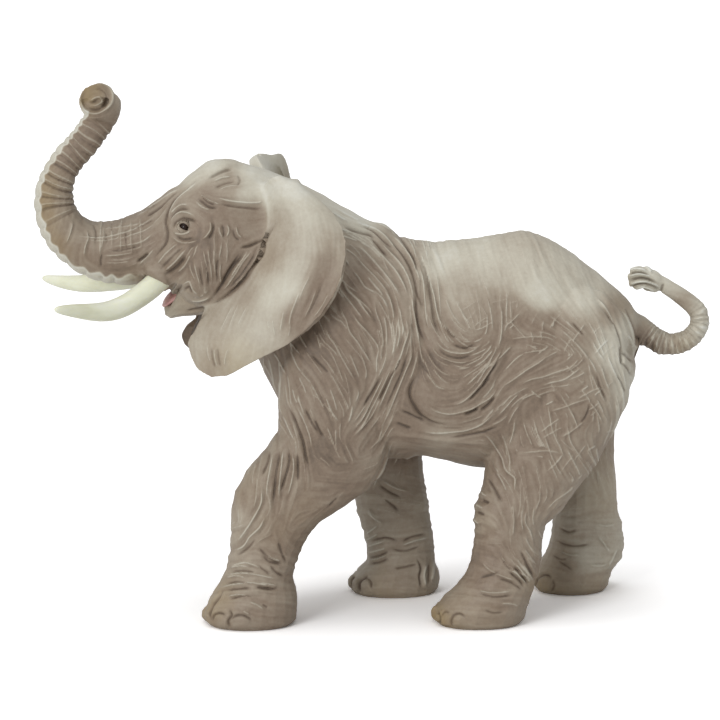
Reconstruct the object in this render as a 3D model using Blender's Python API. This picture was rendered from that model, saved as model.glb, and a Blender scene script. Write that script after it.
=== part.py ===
"""Toy African elephant, striding with its trunk raised: moulded pieces that plug and glue together.

The hollow torso is two half shells on pins. The head, legs and tail plug into it, and the trunk,
ears, tusks, eyes, lower jaw and tongue into the head. Metres, +Z up, the animal faces -X and its
left side is -Y.
"""

import math

import bmesh
import bpy
import numpy as np
from mathutils import Vector

# Sizes of the whole animal
BACK_HEIGHT = 0.119
TORSO_LENGTH = 0.117
TORSO_WIDTH = 0.061

# Sizes of the head and what it carries
HEAD_LENGTH = 0.048
HEAD_DEPTH = 0.046
HEAD_WIDTH = 0.042
TRUNK_LENGTH = 0.033
TRUNK_HEIGHT = 0.0516
TRUNK_ROOT_WIDTH = 0.0212
EAR_LENGTH = 0.0485
EAR_HEIGHT = 0.062
EAR_FLARE_WIDTH = 0.020
EAR_THICKNESS = 0.0026
TUSK_LENGTH = 0.037
TUSK_DROP_HEIGHT = 0.0082
TUSK_SPLAY_WIDTH = 0.019
TUSK_DIAMETER = 0.0078
JAW_LENGTH = 0.018
JAW_DEPTH = 0.010
JAW_WIDTH = 0.021
TONGUE_LENGTH = 0.011
TONGUE_WIDTH = 0.010
TONGUE_THICKNESS = 0.0034
EYE_DIAMETER = 0.0034

# Sizes of the legs and the tail
LEG_HEIGHT = 0.107
LEG_DEPTH = 0.022
LEG_WIDTH = 0.026
TOENAIL_DIAMETER = 0.0052
TAIL_LENGTH = 0.0215
TAIL_HEIGHT = 0.0200
TAIL_DIAMETER = 0.0094
TUFT_LENGTH = 0.0110
TUFT_DIAMETER = 0.0070

# Sizes of the moulding and its joins
WALL = 0.0028
CLEARANCE = 0.0003
EAR_CLEARANCE = 0.00045
CUT_OVERRUN_LENGTH = 0.002
NECK_PLUG_LENGTH = 0.006
TRUNK_PLUG_LENGTH = 0.006
TRUNK_PLUG_DIAMETER = 0.011
LEG_PEG_LENGTH = 0.007
LEG_PEG_DIAMETER = 0.009
TAIL_PEG_LENGTH = 0.0055
TAIL_PEG_DIAMETER = 0.005
EAR_TAB_DEPTH = 0.0045
TUSK_ROOT_LENGTH = 0.0060
JAW_PEG_LENGTH = 0.005
JAW_PEG_DIAMETER = 0.0035
BOSS_DIAMETER = 0.008
PIN_DIAMETER = 0.0035
PIN_LENGTH = 0.004
SEAM_DROP_HEIGHT = 0.003

# How finely round shapes are cut
TORSO_SIDES = 40
HEAD_SIDES = 28
LEG_SIDES = 22
TRUNK_SIDES = 18
SMALL_SIDES = 12
FINE_SIDES = 180

TORSO_SQUARENESS = 2.15
HEAD_SQUARENESS = 2.2
LEG_SQUARENESS = 2.2
TRUNK_SQUARENESS = 2.3
ROUND = 2.0

# Where the torso's sections run, as seen from the side: top edge (along, height), bottom edge
# (along, height), half width, and how much narrower the top is. Along is a share of TORSO_LENGTH
# from the chest, height of BACK_HEIGHT from the floor, and half width of half TORSO_WIDTH.
TORSO_SHARES = [
    (0.102, 1.130, -0.011, 0.663, 0.70, 0.10),
    (0.160, 1.100, 0.037, 0.566, 0.79, 0.12),
    (0.222, 1.063, 0.102, 0.477, 0.87, 0.15),
    (0.294, 1.022, 0.195, 0.429, 0.93, 0.20),
    (0.369, 0.985, 0.302, 0.410, 0.97, 0.24),
    (0.449, 0.974, 0.409, 0.397, 0.99, 0.26),
    (0.556, 0.979, 0.529, 0.383, 1.00, 0.26),
    (0.636, 0.991, 0.636, 0.373, 0.98, 0.26),
    (0.709, 0.997, 0.730, 0.378, 0.94, 0.25),
    (0.797, 0.958, 0.826, 0.405, 0.87, 0.22),
    (0.877, 0.900, 0.904, 0.469, 0.75, 0.17),
    (0.942, 0.846, 0.966, 0.558, 0.57, 0.11),
    (0.982, 0.808, 1.001, 0.638, 0.36, 0.05),
    (1.002, 0.772, 1.011, 0.700, 0.13, 0.00),
]
CAVITY_STATION_COUNT = 11

# Flesh that swells or sinks the torso's sides, each form a soft line from one place to another:
# start (along, height), end (along, height), reach and swell. Along is a share of TORSO_LENGTH
# from the chest, height and reach of BACK_HEIGHT, and swell of TORSO_WIDTH, below zero for a
# hollow.
FLESH_SHARES = [
    (0.219, 0.896, 0.272, 0.821, 0.080, 0.015),
    (0.160, 0.657, 0.170, 0.603, 0.080, 0.010),
    (0.373, 0.826, 0.328, 0.630, 0.024, 0.016),
    (0.416, 0.900, 0.418, 0.712, 0.021, -0.012),
    (0.522, 0.801, 0.544, 0.801, 0.072, 0.013),
    (0.450, 0.613, 0.546, 0.597, 0.059, 0.021),
    (0.353, 0.501, 0.567, 0.479, 0.024, 0.012),
    (0.661, 0.742, 0.576, 0.592, 0.024, -0.014),
    (0.728, 0.745, 0.749, 0.734, 0.096, 0.015),
    (0.701, 0.905, 0.861, 0.803, 0.037, 0.008),
    (0.871, 0.873, 0.919, 0.798, 0.021, -0.010),
    (0.778, 0.518, 0.778, 0.507, 0.101, 0.012),
]
# Towards the middle plane the flesh fades, from this share of half TORSO_WIDTH
FLESH_FADE_SHARE = 0.6

# The head's sections, from the neck to the trunk: top edge (forward, height), bottom edge
# (forward, height), half width, and how much narrower the top is. Forward is a share of
# HEAD_LENGTH from the neck's top, height of HEAD_DEPTH from the chin line.
HEAD_SHARES = [
    (0.098, 0.883, 0.392, -0.186, 1.01, 0.14),
    (0.229, 0.938, 0.510, -0.076, 1.00, 0.20),
    (0.359, 0.986, 0.601, -0.020, 1.01, 0.27),
    (0.490, 0.997, 0.673, 0.020, 1.01, 0.32),
    (0.608, 0.966, 0.739, 0.048, 0.97, 0.32),
    (0.699, 0.897, 0.797, 0.076, 0.88, 0.26),
    (0.784, 0.814, 0.856, 0.097, 0.76, 0.18),
    (0.876, 0.738, 0.922, 0.124, 0.64, 0.10),
    (0.967, 0.666, 0.993, 0.152, 0.54, 0.05),
]
NECK_TOP_SHARES = (0.102, 0.805)
TRUNK_SEAM_SHARES = (1.026, 0.628, 1.046, 0.166, 0.505, 0.03)

# The trunk, from the head to the tip: inner edge (reach, rise, side), outer edge (reach, rise,
# side) and half width. Reach is a share of TRUNK_LENGTH forward of the seam, rise of TRUNK_HEIGHT
# above its middle, side of TRUNK_ROOT_WIDTH towards the animal's left.
TRUNK_SHARES = [
    (0.109, 0.173, 0.00, 0.184, -0.204, 0.00, 0.485),
    (0.269, 0.148, 0.00, 0.344, -0.188, 0.00, 0.460),
    (0.392, 0.154, 0.00, 0.505, -0.154, 0.00, 0.430),
    (0.500, 0.182, 0.00, 0.675, -0.093, 0.00, 0.400),
    (0.571, 0.222, 0.00, 0.821, -0.009, 0.00, 0.378),
    (0.613, 0.275, 0.00, 0.925, 0.090, 0.00, 0.354),
    (0.632, 0.336, 0.00, 0.986, 0.210, 0.00, 0.335),
    (0.627, 0.398, 0.00, 0.995, 0.324, 0.00, 0.316),
    (0.594, 0.460, 0.00, 0.962, 0.426, 0.00, 0.298),
    (0.538, 0.512, 0.00, 0.896, 0.515, 0.00, 0.284),
    (0.476, 0.559, 0.00, 0.816, 0.593, 0.00, 0.270),
    (0.410, 0.608, 0.00, 0.731, 0.657, 0.00, 0.260),
    (0.349, 0.657, 0.00, 0.651, 0.710, 0.00, 0.250),
    (0.292, 0.713, 0.00, 0.580, 0.769, 0.01, 0.245),
    (0.230, 0.785, 0.03, 0.520, 0.822, 0.06, 0.243),
    (0.195, 0.862, 0.13, 0.480, 0.868, 0.17, 0.243),
    (0.230, 0.905, 0.29, 0.500, 0.905, 0.33, 0.243),
    (0.310, 0.925, 0.42, 0.572, 0.922, 0.46, 0.240),
]
TIP_REST_SHARES = (0.455, 0.915, 0.62)
NOSTRIL_DIAMETER_SHARE = 0.13
NOSTRIL_SPACING_SHARE = 0.19
NOSTRIL_DEPTH_SHARE = 0.16

# How far apart the feet of a pair stand
STANCE_SHARE = 0.672

# The legs' sections, from the sole up: height as a share of LEG_HEIGHT, front and back edges as
# shares of LEG_DEPTH behind the foot's middle, half width as a share of LEG_WIDTH, and the
# section's place out from the middle plane as a share of half the stance.
FRONT_LEFT_SHARES = [
    (0.000, -0.59, 0.58, 0.47, 1.00),
    (0.014, -0.65, 0.65, 0.51, 1.00),
    (0.043, -0.63, 0.66, 0.52, 1.00),
    (0.073, -0.57, 0.66, 0.49, 1.00),
    (0.103, -0.48, 0.64, 0.45, 1.00),
    (0.131, -0.40, 0.60, 0.42, 1.00),
    (0.162, -0.34, 0.62, 0.40, 0.99),
    (0.206, -0.29, 0.71, 0.39, 0.98),
    (0.252, -0.27, 0.81, 0.39, 0.97),
    (0.296, -0.26, 0.99, 0.40, 0.96),
    (0.341, -0.24, 1.34, 0.41, 0.95),
    (0.386, -0.20, 1.66, 0.42, 0.94),
    (0.446, -0.04, 1.88, 0.44, 0.93),
    (0.505, 0.21, 1.96, 0.46, 0.92),
    (0.565, 0.41, 1.99, 0.48, 0.91),
    (0.654, 0.40, 2.03, 0.49, 0.90),
    (0.740, 0.43, 2.06, 0.47, 0.90),
    (0.822, 0.55, 2.00, 0.43, 0.90),
    (0.906, 0.77, 1.86, 0.36, 0.88),
    (0.972, 1.01, 1.66, 0.24, 0.85),
]
FRONT_RIGHT_SHARES = [
    (0.000, -0.60, 0.58, 0.47, 1.00),
    (0.014, -0.65, 0.63, 0.51, 1.00),
    (0.034, -0.63, 0.65, 0.52, 1.00),
    (0.060, -0.55, 0.63, 0.49, 1.00),
    (0.087, -0.42, 0.58, 0.45, 1.00),
    (0.126, -0.40, 0.57, 0.41, 1.00),
    (0.174, -0.45, 0.54, 0.40, 0.99),
    (0.218, -0.52, 0.51, 0.40, 0.98),
    (0.249, -0.56, 0.48, 0.40, 0.97),
    (0.299, -0.60, 0.45, 0.41, 0.96),
    (0.402, -0.70, 0.38, 0.43, 0.94),
    (0.514, -0.90, 0.28, 0.45, 0.92),
    (0.636, -1.20, 0.20, 0.47, 0.90),
    (0.794, -1.40, 0.10, 0.45, 0.90),
    (0.906, -1.20, -0.20, 0.36, 0.88),
    (0.972, -0.95, -0.40, 0.24, 0.85),
]
REAR_LEFT_SHARES = [
    (0.000, -0.58, 0.57, 0.45, 1.20),
    (0.014, -0.65, 0.64, 0.49, 1.20),
    (0.043, -0.62, 0.67, 0.50, 1.20),
    (0.073, -0.51, 0.73, 0.47, 1.19),
    (0.103, -0.34, 0.78, 0.43, 1.18),
    (0.148, -0.18, 0.84, 0.40, 1.16),
    (0.189, -0.12, 0.87, 0.39, 1.14),
    (0.236, -0.11, 0.89, 0.39, 1.11),
    (0.281, -0.09, 0.95, 0.40, 1.08),
    (0.333, -0.05, 1.22, 0.42, 1.05),
    (0.374, 0.02, 1.36, 0.44, 1.02),
    (0.416, 0.08, 1.52, 0.46, 0.99),
    (0.458, 0.09, 1.68, 0.47, 0.96),
    (0.565, 0.11, 1.96, 0.49, 0.90),
    (0.654, 0.20, 2.12, 0.49, 0.85),
    (0.748, 0.31, 2.18, 0.47, 0.80),
    (0.830, 0.45, 2.13, 0.42, 0.74),
    (0.900, 0.64, 2.00, 0.33, 0.66),
    (0.945, 0.88, 1.80, 0.22, 0.58),
    (0.965, 1.12, 1.58, 0.10, 0.54),
]
REAR_RIGHT_SHARES = [
    (0.000, -0.50, 0.47, 0.45, 0.98),
    (0.014, -0.55, 0.53, 0.49, 0.98),
    (0.034, -0.54, 0.54, 0.50, 0.98),
    (0.061, -0.50, 0.60, 0.47, 0.98),
    (0.096, -0.39, 0.73, 0.44, 0.98),
    (0.138, -0.32, 0.76, 0.41, 0.98),
    (0.196, -0.29, 0.72, 0.40, 0.97),
    (0.240, -0.25, 0.66, 0.40, 0.96),
    (0.318, -0.22, 0.63, 0.42, 0.94),
    (0.421, -0.36, 0.59, 0.46, 0.92),
    (0.523, -0.57, 0.60, 0.48, 0.89),
    (0.654, -0.80, 0.70, 0.49, 0.84),
    (0.748, -0.86, 0.74, 0.47, 0.80),
    (0.830, -0.82, 0.70, 0.42, 0.74),
    (0.900, -0.62, 0.56, 0.33, 0.66),
    (0.945, -0.40, 0.38, 0.22, 0.58),
    (0.965, -0.20, 0.20, 0.10, 0.54),
]
# Name of each leg, its sections, its foot's place as a share of TORSO_LENGTH, and its side
LEGS = {
    "front_left_leg": (FRONT_LEFT_SHARES, -0.044, -1),
    "front_right_leg": (FRONT_RIGHT_SHARES, 0.367, 1),
    "rear_left_leg": (REAR_LEFT_SHARES, 0.563, -1),
    "rear_right_leg": (REAR_RIGHT_SHARES, 0.851, 1),
}
TOE_ANGLES_DEG = (-57, -28, 1, 30, 59)
TOE_HEIGHT_SHARE = 0.55
TOE_DEPTH_SHARE = 0.30

# The ear's grid: for each row from top to lobe, the root, the middle and the rim, each as
# (forward-to-back share of EAR_LENGTH, height share of EAR_HEIGHT, flare share of EAR_FLARE_WIDTH).
EAR_SHARES = [
    ((0.485, 0.935, -0.54), (0.550, 0.985, -0.26), (0.615, 0.992, -0.30)),
    ((0.529, 0.848, -0.29), (0.670, 0.905, 0.02), (0.800, 0.905, -0.06)),
    ((0.531, 0.753, -0.12), (0.751, 0.785, 0.22), (0.955, 0.790, 0.17)),
    ((0.490, 0.663, -0.03), (0.746, 0.670, 0.37), (1.005, 0.669, 0.44)),
    ((0.452, 0.577, 0.01), (0.692, 0.525, 0.48), (0.962, 0.522, 0.68)),
    ((0.394, 0.498, 0.00), (0.588, 0.391, 0.52), (0.837, 0.348, 0.77)),
    ((0.325, 0.440, -0.02), (0.449, 0.292, 0.44), (0.622, 0.197, 0.67)),
    ((0.255, 0.401, -0.07), (0.311, 0.209, 0.34), (0.383, 0.099, 0.50)),
    ((0.186, 0.368, -0.12), (0.180, 0.161, 0.22), (0.190, 0.000, 0.30)),
    ((0.137, 0.338, -0.20), (0.097, 0.184, 0.00), (0.059, 0.050, 0.00)),
    ((0.101, 0.307, -0.27), (0.054, 0.235, -0.20), (0.005, 0.158, -0.27)),
]
EAR_ORIGIN_SHARES = (0.758, -0.393)
EAR_COLUMNS = 7
EAR_ROWS = 19
# How far each ear swings out from its root
EAR_TURN_DEG = {-1: 0, 1: 38}
EAR_TAB_ROW_SHARE = 0.62
EAR_TAB_END_SHARE = 0.2

# Tusk, from the socket's floor to the tip: reach, drop, splay and diameter shares
TUSK_SHARES = [
    (0.000, 0.00, 0.000, 0.98),
    (0.117, 0.36, 0.060, 1.00),
    (0.234, 0.62, 0.140, 0.97),
    (0.378, 0.86, 0.270, 0.90),
    (0.541, 1.00, 0.430, 0.80),
    (0.703, 1.01, 0.610, 0.68),
    (0.874, 0.93, 0.830, 0.48),
    (0.960, 0.87, 0.950, 0.30),
    (0.990, 0.85, 0.990, 0.14),
]
TUSK_ROOT_SHARES = (0.905, 0.262, 0.48)
# The left tusk is the more worn of the two
TUSK_LENGTH_SHARES = {-1: 0.91, 1: 1.0}

# Lower jaw, from the lip back: top edge, bottom edge (back, height) and half width
JAW_SHARES = [
    (0.00, 0.45, 0.02, 0.02, 0.14),
    (0.07, 0.70, 0.12, -0.10, 0.25),
    (0.25, 0.92, 0.32, -0.04, 0.36),
    (0.52, 1.10, 0.60, 0.04, 0.45),
    (0.85, 1.22, 0.98, 0.16, 0.50),
]
JAW_LIP_SHARES = (0.892, -0.050)
JAW_PEG_BACK_SHARE = 0.78

# Tongue, from its tip back: back, height and half width and half thickness shares
TONGUE_SHARES = [
    (0.00, 0.00, 0.16, 0.20),
    (0.08, 0.10, 0.36, 0.42),
    (0.35, 0.55, 0.48, 0.50),
    (0.70, 1.05, 0.46, 0.46),
    (1.00, 1.30, 0.36, 0.34),
]
TONGUE_TIP_SHARES = (0.902, 0.072)
# The eye: its station from neck to trunk, its angle up the head's side, and how deep it sits
EYE_STATION_SHARE = 0.665
EYE_ANGLE_DEG = 21
EYE_DEPTH_SHARE = 0.24

# Tail, from the rump to the tuft: back, height and diameter shares
TAIL_SHARES = [
    (0.000, 0.32, 1.00),
    (0.180, 0.17, 0.94),
    (0.355, 0.05, 0.86),
    (0.530, 0.00, 0.74),
    (0.710, 0.01, 0.71),
    (0.860, 0.09, 0.68),
    (0.965, 0.22, 0.66),
    (1.000, 0.38, 0.65),
    (0.955, 0.53, 0.63),
    (0.830, 0.66, 0.60),
    (0.680, 0.78, 0.56),
    (0.500, 0.91, 0.53),
    (0.330, 1.02, 0.50),
]
TAIL_ROOT_SHARES = (0.988, 0.694)
# The tuft runs on past the tail's end: along, rise and diameter shares of its own sizes
TUFT_SHARES = [
    (0.00, -0.04, 0.66),
    (0.20, -0.10, 0.98),
    (0.48, -0.18, 1.04),
    (0.78, -0.26, 0.90),
    (1.00, -0.30, 0.34),
]

# Bosses that pin the two torso halves together: (along, height) shares
BOSS_SHARES = [(0.260, 0.780), (0.560, 0.860), (0.620, 0.520), (0.800, 0.740)]

SKIN_COLOUR = (0.27, 0.22, 0.165, 1.0)
EAR_COLOUR = (0.42, 0.39, 0.31, 1.0)
IVORY_COLOUR = (0.63, 0.62, 0.47, 1.0)
TONGUE_COLOUR = (0.55, 0.33, 0.28, 1.0)
EYE_COLOUR = (0.012, 0.008, 0.007, 1.0)


def clear_scene():
    for old in list(bpy.data.objects):
        bpy.data.objects.remove(old, do_unlink=True)


def new_collection(name):
    made = bpy.data.collections.new(name)
    bpy.context.scene.collection.children.link(made)
    return made


def new_material(name, colour, roughness):
    made = bpy.data.materials.new(name)
    made.use_nodes = True
    shader = made.node_tree.nodes["Principled BSDF"]
    shader.inputs["Base Color"].default_value = colour
    shader.inputs["Roughness"].default_value = roughness
    shader.inputs["Metallic"].default_value = 0.0
    return made


def add_mesh(name, mesh, collection):
    piece = bpy.data.objects.new(name, mesh)
    collection.objects.link(piece)
    return piece


def smooth_rows(rows, steps):
    """Rows between the given ones, on a Catmull-Rom curve through them."""
    rows = np.array(rows, float)
    padded = np.vstack([2 * rows[0] - rows[1], rows, 2 * rows[-1] - rows[-2]])
    made = []
    for i in range(1, len(padded) - 2):
        before, here, after, later = padded[i - 1 : i + 3]
        for k in range(steps):
            t = k / steps
            made.append(
                here
                + (after - before) * t / 2
                + (2 * before - 5 * here + 4 * after - later) * t**2 / 2
                + (3 * here - before - 3 * after + later) * t**3 / 2
            )
    made.append(rows[-1])
    return np.array(made)


def rings_of(sections, sides, squareness, swell=0.0, ends=(0.0, 0.0)):
    """Closed rings of points round sections. A section is edge a, edge b, half width and taper.

    The ring passes through both edges, and spreads by the half width square to them. Swell
    moves the rings outwards, and ends the first and last ones on along the way they face.
    """
    sections = np.array(sections, float)
    edge_a = sections[:, 0:3]
    edge_b = sections[:, 3:6]
    centres = (edge_a + edge_b) / 2
    ways = np.gradient(centres, axis=0)
    ways /= np.linalg.norm(ways, axis=1)[:, None]
    centres[0] -= ways[0] * ends[0]
    centres[-1] += ways[-1] * ends[1]
    rings = []
    for centre, way, a, b, row in zip(centres, ways, edge_a, edge_b, sections):
        upward = (a - b) / 2
        half_height = np.linalg.norm(upward)
        upward = upward / half_height
        across = np.cross(way, upward)
        across /= np.linalg.norm(across)
        half_width, taper = row[6:8]
        ring = []
        for k in range(sides):
            angle = 2 * math.pi * (k + 0.5) / sides
            side = abs(math.cos(angle)) ** (2 / squareness) * math.copysign(1, math.cos(angle))
            rise = abs(math.sin(angle)) ** (2 / squareness) * math.copysign(1, math.sin(angle))
            ring.append(
                centre
                + across * side * (half_width * (1 - taper * rise) + swell)
                + upward * rise * (half_height + swell)
            )
        rings.append(ring)
    return rings


def loft(name, rings, collection):
    """One closed skin over rings of points, capped at both ends."""
    shape = bmesh.new()
    loops = [[shape.verts.new(point) for point in ring] for ring in rings]
    for here, there in zip(loops, loops[1:]):
        for k in range(len(here)):
            shape.faces.new((here[k - 1], here[k], there[k], there[k - 1]))
    shape.faces.new(loops[0])
    shape.faces.new(loops[-1])
    bmesh.ops.recalc_face_normals(shape, faces=shape.faces)
    mesh = bpy.data.meshes.new(name)
    shape.to_mesh(mesh)
    shape.free()
    return add_mesh(name, mesh, collection)


def peg(name, start, end, diameter, collection, sides=SMALL_SIDES):
    """A round peg between two points, also used to cut its socket."""
    start = Vector(start)
    way = Vector(end) - start
    shape = bmesh.new()
    bmesh.ops.create_cone(
        shape,
        cap_ends=True,
        segments=sides,
        radius1=diameter / 2,
        radius2=diameter / 2,
        depth=way.length,
    )
    turn = way.to_track_quat("Z", "Y").to_matrix()
    bmesh.ops.rotate(shape, verts=shape.verts, matrix=turn)
    bmesh.ops.translate(shape, verts=shape.verts, vec=start + way / 2)
    mesh = bpy.data.meshes.new(name)
    shape.to_mesh(mesh)
    shape.free()
    return add_mesh(name, mesh, collection)


def ball(name, centre, diameter, collection, sides=SMALL_SIDES, stretch=(1, 1, 1)):
    shape = bmesh.new()
    bmesh.ops.create_uvsphere(
        shape, u_segments=sides, v_segments=sides // 2, radius=diameter / 2
    )
    bmesh.ops.scale(shape, verts=shape.verts, vec=stretch)
    bmesh.ops.translate(shape, verts=shape.verts, vec=centre)
    mesh = bpy.data.meshes.new(name)
    shape.to_mesh(mesh)
    shape.free()
    return add_mesh(name, mesh, collection)


def block(name, low, high, collection):
    """A plain box between two corners."""
    low = Vector(low)
    high = Vector(high)
    shape = bmesh.new()
    bmesh.ops.create_cube(shape, size=1)
    bmesh.ops.scale(shape, verts=shape.verts, vec=high - low)
    bmesh.ops.translate(shape, verts=shape.verts, vec=(low + high) / 2)
    mesh = bpy.data.meshes.new(name)
    shape.to_mesh(mesh)
    shape.free()
    return add_mesh(name, mesh, collection)


def combine(piece, tool, operation, solver="EXACT"):
    """Applies a Boolean to the piece and removes the tool."""
    change = piece.modifiers.new(operation.title(), "BOOLEAN")
    change.object = tool
    change.operation = operation
    change.solver = solver
    bpy.context.view_layer.update()
    graph = bpy.context.evaluated_depsgraph_get()
    mesh = bpy.data.meshes.new_from_object(piece.evaluated_get(graph))
    piece.modifiers.clear()
    old = piece.data
    piece.data = mesh
    bpy.data.meshes.remove(old)
    bpy.data.objects.remove(tool, do_unlink=True)
    return piece


def copy_of(piece, name, collection):
    return add_mesh(name, piece.data.copy(), collection)


def torso_point(along, across, height):
    return np.array(
        [along * TORSO_LENGTH, across * TORSO_WIDTH / 2, height * BACK_HEIGHT]
    )


def head_point(forward, across, height):
    origin = torso_point(NECK_TOP_SHARES[0], 0, NECK_TOP_SHARES[1])
    return origin + np.array(
        [-forward * HEAD_LENGTH, across * HEAD_WIDTH / 2, height * HEAD_DEPTH]
    )


def torso_sections():
    made = []
    for top_x, top_z, bottom_x, bottom_z, width, taper in TORSO_SHARES:
        top = torso_point(top_x, 0, top_z)
        bottom = torso_point(bottom_x, 0, bottom_z)
        made.append([*top, *bottom, width * TORSO_WIDTH / 2, taper])
    return made


def head_sections():
    """The head's sections, starting at the torso's own neck section."""
    made = [torso_sections()[0]]
    for top_x, top_z, bottom_x, bottom_z, width, taper in [*HEAD_SHARES, TRUNK_SEAM_SHARES]:
        top = head_point(top_x, 0, top_z)
        bottom = head_point(bottom_x, 0, bottom_z)
        made.append([*top, *bottom, width * HEAD_WIDTH / 2, taper])
    return made


def trunk_sections():
    seam = np.array(head_sections()[-1])
    middle = (seam[0:3] + seam[3:6]) / 2
    made = [seam]
    for inner_x, inner_z, inner_y, outer_x, outer_z, outer_y, width in TRUNK_SHARES:
        inner = middle + np.array(
            [-inner_x * TRUNK_LENGTH, -inner_y * TRUNK_ROOT_WIDTH, inner_z * TRUNK_HEIGHT]
        )
        outer = middle + np.array(
            [-outer_x * TRUNK_LENGTH, -outer_y * TRUNK_ROOT_WIDTH, outer_z * TRUNK_HEIGHT]
        )
        made.append([*inner, *outer, width * TRUNK_ROOT_WIDTH, 0.0])
    return made


def leg_sections(name):
    shares, foot_share, side = LEGS[name]
    foot_x = foot_share * TORSO_LENGTH
    made = []
    for height, front, back, width, out in shares:
        across = side * out * STANCE_SHARE * TORSO_WIDTH / 2
        z = height * LEG_HEIGHT
        made.append(
            [
                foot_x + front * LEG_DEPTH,
                across,
                z,
                foot_x + back * LEG_DEPTH,
                across,
                z,
                width * LEG_WIDTH,
                0.0,
            ]
        )
    return made


def fleshed(rings):
    """The rings with each point moved out from the middle plane, or in, by the flesh there."""
    forms = []
    for start_x, start_z, end_x, end_z, reach, swell in FLESH_SHARES:
        start = torso_point(start_x, 0, start_z)
        way = torso_point(end_x, 0, end_z) - start
        forms.append((start, way, reach * BACK_HEIGHT, swell * TORSO_WIDTH))
    made = []
    for ring in rings:
        points = []
        for point in ring:
            seen = np.array([point[0], 0.0, point[2]])
            out = 0.0
            for start, way, reach, swell in forms:
                share = np.clip((seen - start) @ way / (way @ way), 0, 1)
                away = np.linalg.norm(seen - start - way * share) / reach
                out += swell * math.exp(-(away**2))
            fade = np.clip(point[1] / (FLESH_FADE_SHARE * TORSO_WIDTH / 2), -1, 1)
            points.append(point + np.array([0.0, out * fade, 0.0]))
        made.append(points)
    return made


def seam_height():
    """The level at which the legs leave the torso's stumps, just under the belly."""
    belly = min(row[3] for row in TORSO_SHARES) * BACK_HEIGHT
    return belly - SEAM_DROP_HEIGHT


def seam_section(name):
    """Where the leg's own middle lies at the seam."""
    rows = smooth_rows(leg_sections(name), 4)
    at = min(rows, key=lambda row: abs(row[2] - seam_height()))
    return (at[0:3] + at[3:6]) / 2


def add_toenails(leg, name, collection):
    """Five rounded nails round the front of the foot, moulded with it."""
    sole = leg_sections(name)[1]
    middle = (np.array(sole[0:3]) + np.array(sole[3:6])) / 2
    sunk = TOE_DEPTH_SHARE * TOENAIL_DIAMETER
    reach = abs(sole[3] - sole[0]) / 2 - sunk
    half_width = sole[6] - sunk
    for number, degrees in enumerate(TOE_ANGLES_DEG):
        angle = math.radians(degrees)
        place = np.array(
            [
                middle[0] - reach * math.cos(angle),
                middle[1] + half_width * math.sin(angle),
                TOENAIL_DIAMETER * TOE_HEIGHT_SHARE,
            ]
        )
        nail = ball(f"{name}_nail_{number}", place, TOENAIL_DIAMETER, collection, 10)
        combine(leg, nail, "UNION", "MANIFOLD")


def make_leg_loft(leg_name, name, collection):
    rings = rings_of(leg_sections(leg_name), LEG_SIDES, LEG_SQUARENESS)
    return loft(name, fleshed(rings), collection)


def wide_box(name, low_z, high_z, collection):
    """A box wider than the animal, between two levels."""
    reach = TORSO_LENGTH + HEAD_LENGTH + TRUNK_LENGTH + TAIL_LENGTH
    return block(
        name, (-reach, -TORSO_WIDTH * 2, low_z), (reach * 2, TORSO_WIDTH * 2, high_z), collection
    )


def make_leg(name, collection, helpers):
    """A solid leg up to the seam, with nails, a flat sole and a peg for its stump."""
    leg = make_leg_loft(name, name, collection)
    top = seam_height() - CLEARANCE / 2
    combine(leg, wide_box("above_seam", top, LEG_HEIGHT + CUT_OVERRUN_LENGTH, helpers), "DIFFERENCE")
    add_toenails(leg, name, helpers)
    combine(leg, wide_box("below_floor", -TOENAIL_DIAMETER, 0.0, helpers), "DIFFERENCE")
    middle = seam_section(name)
    root = middle + np.array([0, 0, -CUT_OVERRUN_LENGTH])
    end = middle + np.array([0, 0, LEG_PEG_LENGTH])
    combine(leg, peg(f"{name}_peg", root, end, LEG_PEG_DIAMETER, helpers), "UNION")
    return leg


def neck_plug_sections(length):
    """The torso's first sections, from the neck seam to this far behind it."""
    rows = smooth_rows(torso_sections(), 4)
    centres = (rows[:, 0:3] + rows[:, 3:6]) / 2
    runs = np.concatenate(
        [[0.0], np.cumsum(np.linalg.norm(np.diff(centres, axis=0), axis=1))]
    )
    inside = [row for row, run in zip(rows, runs) if run < length]
    share = (length - runs[len(inside) - 1]) / (runs[len(inside)] - runs[len(inside) - 1])
    last = inside[-1] + (rows[len(inside)] - inside[-1]) * share
    return [*inside, last]


def make_cavity(collection, helpers):
    """The hollow inside the torso, left solid where the bosses stand."""
    rows = torso_sections()[:CAVITY_STATION_COUNT]
    rings = rings_of(rows, TORSO_SIDES, TORSO_SQUARENESS, -WALL, (CUT_OVERRUN_LENGTH, -WALL))
    cavity = loft("cavity", rings, collection)
    for along, height in BOSS_SHARES:
        start = torso_point(along, -1.5, height)
        end = torso_point(along, 1.5, height)
        combine(cavity, peg("boss", start, end, BOSS_DIAMETER, helpers), "DIFFERENCE")
    return cavity


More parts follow.
